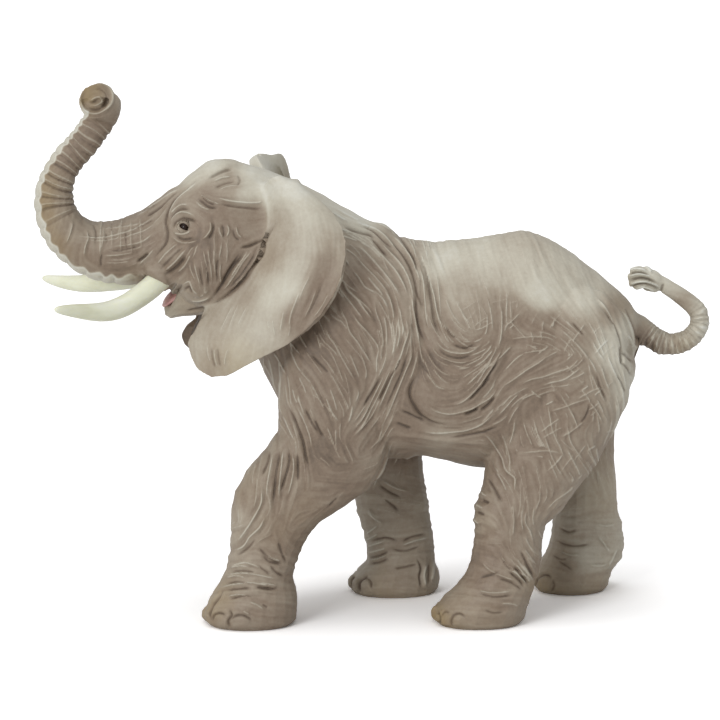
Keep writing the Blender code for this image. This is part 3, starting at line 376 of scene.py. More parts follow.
def near_side_of(places):
    """The same points carried to the near side of the animal's middle plane."""
    carried = places.copy()
    far = places[:, 1] > MIDDLE_Y
    carried[far, 1] = 2 * MIDDLE_Y - places[far, 1]
    ear = owned_by("right_ear")
    far_box = boxes[SKIN_NODES.index("right_ear")]
    near_box = boxes[SKIN_NODES.index("left_ear")]
    stretch = (near_box[1][0] - near_box[0][0]) / (far_box[1][0] - far_box[0][0])
    carried[ear, 0] = near_box[0][0] + (places[ear, 0] - far_box[0][0]) * stretch
    return carried


side_view = to_picture(near_side_of(points))
own_view = to_picture(points)
far_leg = owned_by("front_right_leg", "rear_right_leg").astype(float)
far_leg = smoothed(far_leg, 24)
print("picture x from", side_view[:, 0].min().round(), "to", side_view[:, 0].max().round())


# %% [markdown]
# Places of the outline are drawn out or pushed in with a soft brush, as a sculptor does with the
# grab tool: the far ear's rounded top and dark lobe, the trunk, the forehead, the neck, the belly's
# edge, the root of the tail and the lower lip.

# %% Soft pulls
PIXEL = 0.32 * MM
PULLS = [
    # pieces, x, y, reach, to the right, up (pixels)
    (("right_ear",), 279, 170, 10, 2, 15),
    (("right_ear",), 263, 164, 9, 0, 7),
    (("right_ear",), 257, 163, 10, -5, -1),
    (("right_ear",), 268, 157, 7, 0, 3),
    (("right_ear",), 283, 157, 6, -1, -2),
    (("right_ear",), 296, 178, 8, -4, 0),
    (("right_ear",), 187, 336, 9, -5, 0),
    (("right_ear",), 188, 315, 7, 8, -2),
    (("trunk",), 115, 100, 12, 3.5, 0),
    (("trunk",), 102, 85, 10, 0, 3),
    (("trunk", "head"), 88, 214, 10, 0, 2.5),
    (("trunk", "head"), 108, 223, 14, 0, 5),
    (("trunk", "head"), 130, 217, 14, 0, 6),
    (("trunk", "head"), 150, 207, 14, 0, 6),
    (("trunk", "head"), 168, 195, 13, 0, 5),
    (("head",), 188, 180, 13, -1, 3),
    (("head",), 208, 166, 13, 0, 4),
    (("head",), 228, 163, 13, 0, 2.5),
    (("torso_left_half", "torso_right_half"), 385, 228, 13, 0, 5),
    (("torso_left_half", "torso_right_half"), 424, 463, 15, 0, 6),
    (("torso_left_half", "torso_right_half"), 448, 465, 14, 0, 3),
    (("rear_left_leg",), 474, 534, 16, 3, 0),
    (("tail", "torso_left_half", "torso_right_half"), 643, 350, 9, 0, 4),
    (("tail",), 632, 285, 6, -3, -3),
    (("tail",), 628, 276, 6, -2, 0),
    (("lower_jaw",), 166, 297, 8, 4, -4),
    (("lower_jaw",), 181, 301, 9, -1, 13),
    (("head",), 175, 295, 8, 1, 10),
    (("left_ear", "head"), 298, 184, 7, 0, 3),
    (("torso_left_half", "torso_right_half"), 641, 350, 14, -4.5, 0),
    (("torso_left_half", "torso_right_half", "tail"), 637, 354, 8, -4, 4),
    (("torso_left_half", "torso_right_half"), 627, 402, 12, 2.5, 0),
    (("left_ear",), 218, 377, 12, 0, 3),
]
for nodes, x, y, reach, right, up in PULLS:
    away = ((own_view - (x, y)) ** 2).sum(axis=1) / reach**2
    brush = np.exp(-away) * owned_by(*nodes)
    brush = smoothed(brush, 3)
    points[:, 0] += brush * right * PIXEL
    points[:, 2] += brush * up * PIXEL
side_view = to_picture(near_side_of(points))
own_view = to_picture(points)
print("pulls:", len(PULLS))

# %% [markdown]
# The picture is drawn in three sheets that overlap as the real parts do: the body with its legs
# and tail, the head with its trunk, and the ears in front of both. Each point reads its own sheet,
# with a short blend where the sheets meet.

# %% Share of each sheet at every point
HEAD_NODES = ("head", "trunk", "lower_jaw")
EAR_NODES = ("left_ear", "right_ear")
head_share = smoothed(owned_by(*HEAD_NODES).astype(float), 12)
ear_share = smoothed(owned_by(*EAR_NODES).astype(float), 5)
body_share = np.clip(1 - head_share - ear_share, 0, 1)
SHEET_SHARES = {"body": body_share, "head": head_share, "ear": ear_share}

STEP = 0.5
SHEET_FRAMES = {
    "body": ((196, 176), (716, 640)),
    "head": ((24, 74), (300, 336)),
    "ear": ((176, 140), (360, 384)),
}


def sheet_grid(sheet):
    (x0, y0), (x1, y1) = SHEET_FRAMES[sheet]
    return np.meshgrid(np.arange(x0, x1, STEP), np.arange(y0, y1, STEP))


def blur(field, reach):
    """A Gaussian blur of a drawing, with the reach in pixels."""
    rows, columns = field.shape
    pad = int(3 * reach / STEP) + 1
    wide = np.pad(field, pad, mode="edge")
    fy = np.fft.fftfreq(wide.shape[0])[:, None]
    fx = np.fft.rfftfreq(wide.shape[1])[None, :]
    soften = np.exp(-2 * (math.pi * reach / STEP) ** 2 * (fx**2 + fy**2))
    wide = np.fft.irfft2(np.fft.rfft2(wide) * soften, s=wide.shape)
    return wide[pad : pad + rows, pad : pad + columns]


def between(field, column, row):
    """Reads a field at places that lie between its cells."""
    c0, r0 = column.astype(int), row.astype(int)
    cf, rf = column - c0, row - r0
    upper = field[r0, c0] * (1 - cf) + field[r0, c0 + 1] * cf
    lower = field[r0 + 1, c0] * (1 - cf) + field[r0 + 1, c0 + 1] * cf
    return upper * (1 - rf) + lower * rf


def read_sheet(field, sheet, view):
    (x0, y0), _ = SHEET_FRAMES[sheet]
    column = np.clip((view[:, 0] - x0) / STEP, 0, field.shape[1] - 1.001)
    row = np.clip((view[:, 1] - y0) / STEP, 0, field.shape[0] - 1.001)
    return between(field, column, row)


def coarse_distances(sheet, step, spots):
    """Squared distances from each cell of a coarse grid over the sheet to each spot, and its shape."""
    (x0, y0), (x1, y1) = SHEET_FRAMES[sheet]
    gx, gy = np.meshgrid(np.arange(x0, x1 + step, step), np.arange(y0, y1 + step, step))
    away = (gx.ravel()[:, None] - spots[:, 0]) ** 2 + (gy.ravel()[:, None] - spots[:, 1]) ** 2
    return away, gx.shape


def from_coarse(field, sheet, step):
    """A coarse field read at every cell of its sheet."""
    (x0, y0), _ = SHEET_FRAMES[sheet]
    xx, yy = sheet_grid(sheet)
    return between(field, (xx - x0) / step, (yy - y0) / step)


def wrap(fields):
    """Lays one drawing per sheet over the skin and returns its value at every point."""
    total = np.zeros(count)
    for sheet, share in SHEET_SHARES.items():
        near = read_sheet(fields[sheet], sheet, side_view)
        if sheet == "body":
            near = near * (1 - far_leg) + read_sheet(fields[sheet], sheet, own_view) * far_leg
        total += share * near
    return total


# %% [markdown]
# ## Large soft forms
# The solids already carry the broad flesh of shoulder, ribs, belly and haunch. Before any wrinkle
# comes the rest: the brow, the hollow of the temple, the cheek, the edges of the muscles and the
# knees. Each is a soft mound or hollow, given as centre, reach along and across in pixels,
# turn in degrees (clockwise as seen) and height in millimetres.

# %% Mounds and hollows
FORMS = {
    "body": [
        (404, 335, 7, 40, 0, 0.45),       # sharper edge of the muscle behind the shoulder
        (424, 320, 5, 46, 0, -0.4),       # groove behind it
        (436, 250, 30, 12, 60, -0.4),     # saddle
        (425, 424, 40, 4, 16, -0.8),      # crease under the belly's bulge
        (500, 372, 6, 36, 30, -0.35),     # groove in front of the haunch
        (566, 302, 46, 8, 34, 0.35),      # hip line
        (604, 306, 30, 5, 58, -0.45),     # hollow beside the tail root
        (507, 470, 7, 40, 70, 0.5),       # front edge of the thigh
        (486, 512, 12, 14, 0, 0.6),       # knee
        (540, 560, 10, 24, 60, 0.3),      # tendon of the heel
        (250, 500, 16, 26, 60, 0.8),      # wrist of the foreleg
        (330, 470, 40, 16, 150, 0.4),     # forearm
        (384, 440, 8, 50, 15, 0.5),       # skin behind the elbow
        (240, 610, 30, 12, 0, 0.4),       # ball of the forefoot
        (480, 610, 34, 12, 0, 0.4),       # ball of the hind foot
        (241, 622, 9, 6, 0, 0.55),        # toenails of the forefoot
        (221, 620, 7, 6, 0, 0.6),
        (208, 614, 4, 6, 0, 0.5),
        (460, 621, 7, 6, 0, 0.5),         # toenails of the hind foot
        (446, 619, 6, 6, 0, 0.5),
        (366, 587, 5.5, 8, 0, 0.6),       # toenails of the far forefoot
        (356, 585, 4, 7, 0, 0.5),
        (544, 586, 7, 8, 0, 0.6),         # and of the far hind foot
    ],
    "head": [
        (190, 205, 12, 10, 0, 0.9),       # brow
        (183, 227, 15, 11, 0, 0.5),       # eyeball under the lids
        (226, 178, 22, 10, 150, -1.2),    # hollow of the temple
        (262, 195, 34, 8, 5, 0.8),        # bone from temple to ear
        (256, 214, 24, 8, 0, -0.5),       # under that bone
        (206, 232, 10, 18, 0, 0.4),       # cheekbone
        (222, 268, 26, 9, 115, -0.5),     # cheek hollow
        (250, 262, 26, 6, 125, 0.9),      # flesh between the ear folds
        (165, 262, 24, 10, 135, 0.7),     # muzzle above the tusk
        (186, 276, 10, 10, 0, -0.7),      # corner of the mouth
        (192, 292, 12, 9, 0, 0.6),        # lips
        (140, 238, 40, 12, 160, 0.3),     # root of the trunk
    ],
    "ear": [
        (300, 205, 40, 22, 15, 0.8),      # rolled top
        (324, 285, 12, 42, 22, -1.3),     # hollow near the rear rim
        (282, 275, 26, 60, 20, 0.7),      # swell before it
        (225, 345, 34, 26, 0, 0.5),       # lobe
        (262, 300, 14, 50, 28, 0.3),      # front of the ear
    ],
}


def soft_forms(sheet):
    xx, yy = sheet_grid(sheet)
    field = np.zeros(xx.shape)
    for x, y, along, across, turn, height in FORMS[sheet]:
        c, s = math.cos(math.radians(turn)), math.sin(math.radians(turn))
        u = ((xx - x) * c + (yy - y) * s) / along
        v = (-(xx - x) * s + (yy - y) * c) / across
        field += height * MM * np.exp(-(u * u + v * v))
    return field


def outward(places, times):
    """The way each point faces, evened out over its neighbours."""
    facing = smoothed(normals_of(places), times)
    return facing / np.linalg.norm(facing, axis=1)[:, None]


forms = wrap({sheet: soft_forms(sheet) for sheet in SHEET_FRAMES})
facing = outward(points, 20)
ear_back = owned_by("left_ear") * step_up(facing[:, 1], 0.0, 0.5)
ear_back += owned_by("right_ear") * step_up(-facing[:, 1], 0.0, 0.5)
# The ear runs into the head without an edge, so the join between them is melted
ear_soft = smoothed(owned_by(*EAR_NODES).astype(float), 60)
melt = np.clip(4 * ear_soft * (1 - ear_soft) * 1.4, 0, 1) * (head_share + ear_share > 0.5)
melt *= 1 - smoothed(ear_back, 12) * step_up(side_view[:, 0], 274, 288)
# So does the tail into the rump
tail_soft = smoothed(owned_by("tail").astype(float), 60)
melt += np.clip(4 * tail_soft * (1 - tail_soft) * 1.4, 0, 1)
for _ in range(90):
    points = points + (0.7 * melt)[:, None] * (neighbour_mean(points) - points)
crack = ((side_view - (265, 207)) ** 2).sum(axis=1)
crack = np.exp(-crack / 9**2) * (1 - owned_by("trunk"))
for _ in range(60):
    points = points + (0.8 * crack)[:, None] * (neighbour_mean(points) - points)
facing = outward(points, 20)
form_strength = 1 - 1.9 * ear_back
points = points + facing * (forms * form_strength)[:, None]
print("forms stand out by", round(forms.max() / MM, 2), "mm and sink by", round(forms.min() / MM, 2))

# %% [markdown]
# ## Folds drawn one by one
# The folds that make this animal itself are drawn one by one, as a sculptor would draw them with a
# tool: each row holds a width in pixels, a height in millimetres and the picture points of its
# line. Heights above zero are raised lines, those below are creases.

# %% Folds of the body
BODY_FOLDS = [
    # neck, behind the ear
    (1.5, -0.75, 344, 226, 352, 230, 362, 233, 370, 235, 376, 239),
    (1.4, -0.5, 360, 225, 370, 229, 377, 234, 384, 241, 394, 249),
    (1.4, -0.6, 371, 238, 377, 244, 383, 251, 388, 256),
    (1.4, 0.4, 352, 222, 366, 226, 378, 231, 390, 242, 400, 254),
    (1.5, 0.45, 362, 240, 374, 249, 386, 261, 396, 272, 404, 286, 409, 300),
    (1.5, 0.45, 376, 240, 388, 251, 399, 263, 407, 276, 412, 292, 414, 308),
    (1.5, 0.4, 350, 244, 362, 250, 374, 262, 386, 276, 396, 290, 402, 304),
    (1.5, 0.4, 388, 232, 400, 244, 410, 258, 417, 272, 421, 288),
    (1.6, -0.6, 386, 238, 397, 248, 405, 258, 411, 269, 415, 281, 418, 294, 424, 307),
    (1.5, -0.6, 396, 232, 404, 242, 410, 252, 415, 263, 418, 278),
    (1.7, -0.75, 420, 257, 425, 268, 428, 280, 430, 294, 432, 307, 434, 320, 438, 331, 442, 338),
    (1.6, -0.6, 416, 294, 417, 307, 418, 320, 421, 332, 426, 342),
    (1.5, 0.45, 424, 262, 428, 276, 434, 296, 437, 312, 442, 326, 448, 337),
    (1.5, 0.4, 411, 293, 413, 312, 417, 333, 420, 350),
    (1.5, 0.45, 418, 262, 423, 280, 425, 300, 427, 320, 432, 336),
    # shoulder
    (1.3, 0.42, 351, 269, 358, 277, 365, 287, 373, 292, 379, 297),
    (1.3, 0.42, 342, 280, 347, 290, 357, 300, 367, 313, 375, 322),
    (1.3, 0.42, 338, 300, 341, 310, 346, 320, 350, 332, 358, 343, 367, 357, 376, 371),
    (1.2, 0.38, 328, 312, 335, 318, 343, 323, 348, 332),
    (1.3, 0.42, 322, 322, 328, 335, 335, 345, 342, 358, 350, 372, 358, 386),
    (1.2, 0.38, 317, 328, 323, 340, 333, 350, 341, 360),
    (1.3, 0.4, 350, 310, 358, 322, 368, 333, 377, 345, 380, 358),
    (1.2, 0.35, 355, 297, 367, 307, 374, 316), (1.2, 0.38, 383, 288, 390, 300, 393, 312, 394, 324),
    (1.2, 0.35, 374, 300, 376, 312, 381, 326, 383, 340, 382, 356),
    (1.2, 0.38, 353, 254, 363, 265, 375, 277, 386, 290, 392, 300),
    (1.1, 0.3, 300, 370, 306, 377, 313, 384), (1.1, 0.3, 318, 352, 328, 364, 337, 378),
    (1.1, 0.3, 328, 370, 338, 386, 346, 402), (1.2, 0.35, 309, 380, 318, 396, 326, 412),
    (1.2, -0.4, 310, 354, 320, 364, 330, 374),
    # long lines from the shoulder down to the elbow
    (1.8, 0.55, 407, 318, 408, 332, 404, 345, 400, 358, 393, 375, 387, 390, 380, 405, 374, 417),
    (1.4, -0.6, 402, 349, 398, 365, 390, 378, 383, 392, 376, 407),
    (1.4, -0.45, 381, 377, 370, 396, 363, 408),
    (1.5, 0.4, 412, 340, 411, 356, 404, 374, 396, 394, 388, 414, 378, 432),
    (1.4, 0.4, 386, 372, 377, 390, 368, 408, 356, 430),
    (1.4, -0.4, 408, 352, 402, 372, 393, 392, 384, 412),
    (1.3, 0.35, 395, 360, 384, 384, 373, 406, 362, 426, 350, 440),
    # ribs and belly
    (1.5, -0.7, 445, 326, 451, 334, 458, 339),
    (1.4, 0.4, 433, 336, 442, 348, 453, 353, 467, 353, 477, 348, 484, 341),
    (1.3, 0.36, 430, 343, 438, 355, 450, 361, 462, 363, 472, 360),
    (1.3, 0.36, 425, 350, 433, 363, 443, 373, 455, 377),
    (1.3, 0.36, 423, 368, 430, 378, 438, 387, 450, 391),
    (1.3, 0.4, 440, 318, 446, 328, 455, 337, 463, 344, 473, 348, 483, 344),
    (1.3, -0.4, 452, 344, 464, 348, 476, 344), (1.2, -0.35, 436, 346, 446, 355, 460, 358, 474, 354),
    (1.9, -0.95, 417, 374, 411, 386, 410, 397, 415, 407, 422, 417, 433, 424, 446, 427),
    (1.6, -0.6, 400, 410, 414, 417, 426, 423), (1.6, -0.7, 396, 422, 404, 426, 412, 429),
    (1.5, -0.85, 464, 415, 472, 412, 479, 408), (1.6, -0.85, 480, 411, 488, 405, 496, 396),
    (1.4, -0.7, 493, 374, 484, 385, 476, 393, 468, 402), (1.4, -0.6, 498, 362, 490, 374, 482, 386),
    (1.4, 0.45, 501, 350, 494, 364, 486, 376, 474, 392, 462, 402, 448, 407),
    (1.4, 0.4, 500, 382, 492, 396, 480, 404, 468, 410, 450, 414, 434, 410, 424, 400),
    (1.5, 0.4, 416, 430, 433, 433, 450, 433, 467, 430, 480, 425, 490, 417, 500, 408),
    (1.5, 0.4, 501, 303, 502, 320, 501, 336, 498, 350),
    (1.4, -0.4, 500, 426, 484, 432, 466, 436, 448, 438),
    # haunch
    (1.3, 0.36, 500, 388, 513, 380, 527, 370, 540, 362, 551, 353),
    (1.3, 0.36, 517, 387, 530, 380, 543, 377, 557, 372, 571, 367, 580, 358),
    (1.3, 0.36, 540, 387, 550, 383, 563, 380, 574, 373, 584, 365),
    (1.2, 0.3, 506, 340, 520, 338, 533, 337, 548, 338, 560, 344),
    (1.2, 0.32, 503, 328, 511, 322, 521, 312), (1.2, 0.32, 506, 316, 518, 330, 530, 342),
    (1.2, 0.36, 557, 327, 567, 335, 576, 344, 584, 354, 591, 365),
    (1.2, -0.45, 572, 322, 579, 330, 585, 336), (1.2, 0.36, 572, 340, 582, 350, 589, 361),
    (1.2, 0.32, 592, 340, 598, 352, 605, 362), (1.3, 0.36, 590, 370, 595, 383, 602, 397, 607, 406),
    (1.3, 0.36, 600, 363, 605, 380, 610, 392), (1.2, 0.32, 606, 352, 614, 372, 623, 388),
    (1.2, -0.4, 596, 372, 601, 388, 608, 402), (1.6, -0.6, 620, 346, 621, 356, 622, 365),
    (1.2, 0.3, 586, 356, 576, 366, 562, 374),
    (1.2, 0.36, 547, 400, 550, 417, 553, 432, 560, 447, 566, 462),
    (1.2, 0.36, 558, 391, 567, 405, 574, 418, 579, 432), (1.2, 0.36, 588, 400, 597, 412, 603, 424),
    (1.2, 0.36, 523, 420, 527, 433, 534, 449),
    (1.2, 0.36, 543, 430, 547, 443, 552, 457, 558, 469, 567, 482),
    (1.2, 0.34, 567, 423, 570, 440, 577, 452, 586, 464), (1.2, 0.3, 586, 420, 573, 430, 560, 438),
    (1.2, 0.3, 520, 453, 533, 452, 550, 451, 566, 455), (1.2, 0.3, 576, 400, 590, 392, 604, 386),
    (1.2, 0.3, 548, 412, 562, 408, 578, 402, 592, 398), (1.2, -0.35, 590, 404, 586, 416, 580, 424),
    (1.2, 0.34, 515, 418, 513, 433, 509, 447),
    (1.8, 0.5, 480, 428, 493, 443, 502, 457, 507, 470, 515, 478, 515, 488, 518, 499),
    (1.4, -0.6, 488, 478, 493, 487, 500, 499, 502, 503), (1.3, 0.35, 497, 470, 503, 482, 508, 494),
    (1.4, 0.35, 500, 430, 506, 444, 510, 458, 512, 470),
    (1.4, 0.35, 527, 508, 525, 521, 530, 532, 534, 546), (1.3, 0.35, 512, 500, 514, 520, 512, 540),
    (1.4, -0.5, 520, 549, 528, 566, 534, 577),
    (1.4, 0.45, 500, 552, 506, 564, 515, 571, 527, 577, 534, 584),
    (1.3, -0.5, 502, 558, 508, 567, 516, 572), (1.3, 0.4, 515, 556, 523, 568, 531, 579),
    (1.3, 0.35, 480, 560, 490, 570, 504, 577, 520, 582),
    # beside the root of the tail
    (1.7, -0.6, 604, 306, 610, 316, 616, 327, 620, 338, 622, 350, 621, 364),
    (1.3, -0.5, 622, 352, 627, 357, 632, 362), (1.3, -0.45, 621, 362, 627, 368, 631, 376),
    (1.3, 0.4, 626, 332, 631, 344, 632, 360), (1.3, -0.4, 616, 374, 622, 384, 626, 394),
    (1.3, 0.4, 596, 296, 605, 306, 613, 320, 617, 334),
    # knee bumps of the hind leg
    (2.4, 0.8, 482, 492, 488, 497), (2.6, 0.8, 478, 505, 486, 509), (2.6, 0.9, 475, 518, 482, 524),
    (1.6, -0.5, 482, 500, 490, 503), (1.6, -0.5, 477, 512, 486, 515),
    # foreleg
    (1.7, -0.75, 288, 407, 295, 423, 302, 440, 306, 457, 310, 471),
    (1.5, -0.6, 304, 408, 312, 423, 319, 433), (1.5, -0.7, 314, 418, 319, 430, 324, 438),
    (1.4, 0.4, 283, 414, 289, 428, 295, 442), (1.4, 0.4, 296, 404, 304, 420, 310, 436, 312, 450),
    (1.6, -0.65, 280, 448, 277, 465, 275, 483, 273, 507), (1.5, -0.6, 270, 450, 267, 463, 262, 476),
    (1.4, 0.4, 284, 446, 282, 464, 280, 484, 279, 500),
    (1.5, -0.55, 288, 447, 289, 462, 285, 478, 280, 494), (1.5, -0.5, 297, 452, 298, 466, 298, 483),
    (1.4, 0.4, 292, 450, 294, 466, 291, 484, 287, 498),
    (1.4, 0.4, 274, 452, 271, 468, 268, 484, 267, 500),
    (1.5, 0.5, 262, 484, 262, 502, 254, 518, 245, 532, 236, 545),
    (1.5, 0.5, 231, 551, 243, 547, 250, 537, 260, 527, 266, 514),
    (1.4, -0.4, 236, 556, 248, 548, 256, 538), (1.4, -0.45, 258, 547, 268, 557, 282, 565),
    (1.4, -0.45, 278, 540, 282, 553, 287, 563), (1.3, 0.4, 224, 576, 240, 573, 258, 575, 280, 580),
    (1.3, -0.45, 255, 587, 264, 588, 273, 588), (1.3, 0.4, 216, 590, 232, 585, 252, 583, 276, 588),
    (1.3, 0.35, 226, 597, 240, 595, 252, 598), (1.3, 0.35, 228, 567, 246, 563, 266, 570),
    (1.4, -0.35, 328, 507, 338, 497), (1.6, 0.5, 389, 450, 383, 467, 377, 478, 374, 488),
    (1.3, 0.36, 382, 393, 372, 415, 356, 435), (1.2, 0.3, 344, 442, 349, 452, 354, 464),
    (1.2, 0.3, 318, 456, 326, 462, 332, 468),
    # far foreleg
    (1.5, -0.55, 378, 485, 391, 493, 402, 498), (1.5, -0.55, 383, 498, 392, 505, 399, 512),
    (1.4, 0.4, 382, 480, 396, 488, 410, 492), (1.4, 0.4, 368, 508, 374, 518, 384, 524),
    (1.4, 0.4, 398, 476, 404, 462, 410, 456),
    # strands of the tuft: an upper bundle and a lower one
    (1.4, -0.9, 657, 283, 648, 279, 639, 278, 628, 281),
    (1.2, 0.5, 662, 289, 655, 284.5, 646, 281.5, 637, 282, 629, 285),
    (1.1, -0.6, 660, 290.5, 652, 286, 643, 284, 635, 285.5, 630, 289),
    (1.2, 0.5, 657, 292, 650, 288.5, 643, 286.5, 636, 288.5, 632, 291),
    (1.1, -0.6, 650, 291, 644, 289, 638, 291),
    (1.2, 0.45, 653, 278, 645, 275, 637, 274.5, 628, 277),
    (1.1, -0.6, 650, 275.5, 643, 272.5, 635, 272, 628, 274.5),
    (1.2, 0.5, 648, 272, 641, 269.5, 634, 269.5, 628, 272),
    (1.3, 0.5, 652, 273, 649, 269, 645, 266), (1.3, -0.5, 664, 283, 662, 288, 660, 293),
    # grooves round the toenails
    (1.3, -0.8, 230, 628, 229, 621, 232, 615, 229, 609),
    (1.2, -0.5, 231, 621, 235, 616.5, 242, 615, 249, 618, 252, 623),
    (1.2, -0.6, 213, 622, 215, 615, 221, 613, 227, 616),
    (1.3, -0.7, 212, 622, 211, 614, 213, 606, 220, 596, 223, 590),
    (1.2, -0.6, 440, 626, 440, 618, 438, 610),
    (1.2, -0.5, 452, 628, 452, 620, 455, 615, 461, 614, 467, 619),
    (1.2, -0.4, 441, 618, 445, 612, 451, 613), (1.3, -0.9, 360, 593, 360, 584, 363, 579, 369, 575),
    (1.2, -0.5, 362, 581, 367, 578.5, 371, 582, 372, 590),
    (1.2, -0.6, 352, 589, 352, 581, 356, 576),
    (1.4, -0.8, 535, 588, 537, 580, 541, 576, 547, 575, 552, 579),
    (1.2, -0.4, 552, 592, 554, 585, 552, 579),
    # wrinkles over the forefoot
    (1.3, 0.45, 267, 555, 273, 559, 281, 561), (1.3, -0.5, 262, 555, 270, 562, 283, 564),
    (1.3, -0.45, 270, 565, 276, 572, 285, 577), (1.2, -0.4, 257, 565, 264, 570, 270, 575),
    (1.2, -0.4, 225, 584, 238, 582, 252, 584), (1.2, -0.4, 226, 590, 240, 589, 251, 588),
    (1.2, -0.45, 257, 587, 268, 589, 279, 588), (1.2, 0.4, 225, 578, 236, 576, 247, 578),
    (1.2, 0.35, 258, 583, 268, 584, 277, 586), (1.2, -0.4, 230, 599, 242, 596, 253, 597),
    (1.2, 0.4, 249, 602, 257, 605, 264, 610), (1.2, -0.4, 262, 604, 268, 608),
    (1.3, 0.4, 243, 611, 250, 615), (1.2, 0.4, 229, 568, 240, 566, 250, 567),
    (1.2, -0.4, 230, 572, 244, 571, 256, 573),
    # wrinkles over the hind foot
    (1.3, 0.5, 508, 568, 518, 575, 527, 585), (1.2, -0.5, 508, 571, 517, 578, 524, 586),
    (1.3, 0.5, 514, 562, 522, 572, 531, 584), (1.2, -0.5, 514, 566, 521, 575, 528, 584),
    (1.2, 0.4, 522, 563, 528, 573, 533, 582), (1.2, -0.4, 478, 593, 495, 597, 513, 595),
    (1.2, 0.35, 476, 590, 492, 593, 514, 591), (1.2, -0.4, 498, 578, 512, 583, 523, 591),
    (1.2, -0.35, 478, 578, 490, 575, 500, 572), (1.2, 0.35, 500, 604, 511, 604, 520, 607),
    (1.2, -0.35, 484, 610, 494, 613, 504, 612),
    # wrinkles of the far forefoot
    (1.3, -0.5, 371, 541, 385, 538, 398, 541), (1.3, -0.5, 402, 542, 412, 537, 426, 534),
    (1.2, -0.45, 390, 549, 405, 551, 421, 546), (1.3, -0.6, 368, 558, 378, 556, 389, 552),
    (1.2, -0.5, 369, 564, 380, 562, 389, 558), (1.2, -0.45, 393, 569, 405, 567, 418, 564),
    (1.2, 0.45, 367, 547, 376, 544, 385, 541), (1.2, 0.45, 401, 546, 414, 541, 429, 537),
    (1.2, 0.45, 368, 553, 376, 551, 387, 548), (1.2, 0.4, 369, 560, 378, 558.5, 388, 555),
    (1.2, 0.45, 367, 534, 372, 530, 378, 525), (1.2, 0.4, 367, 540, 373, 537, 379, 533),
    (1.3, -0.6, 417, 558, 421, 568, 420, 577, 422, 588), (1.2, 0.5, 426, 564, 424, 575, 426, 587),
    (1.2, 0.5, 433, 560, 433, 571, 431, 582), (1.2, -0.4, 429, 562, 429, 574, 429, 584),
    # wrinkles of the far hind foot
    (1.3, -0.5, 559, 528, 568, 532, 577, 530), (1.3, -0.5, 555, 540, 566, 545, 578, 546, 591, 544),
    (1.2, -0.4, 557, 560, 566, 566, 573, 571), (1.2, -0.4, 552, 555, 560, 559, 568, 559),
    (1.1, 0.4, 598, 536, 605, 545, 610, 553), (1.2, 0.4, 590, 565, 600, 566, 608, 564),
    (1.2, 0.4, 608, 567, 613, 557, 617, 548), (1.2, 0.35, 560, 551, 570, 555, 581, 555),
    (1.2, 0.35, 596, 524, 606, 526, 616, 524),
    # the rump's edge over the root of the tail
    (1.8, -0.8, 626, 308, 631, 318, 635, 329, 637.5, 341, 638, 353),
    (3.2, 0.7, 619, 308, 626, 320, 630.5, 332, 632.5, 346, 632, 360),
]

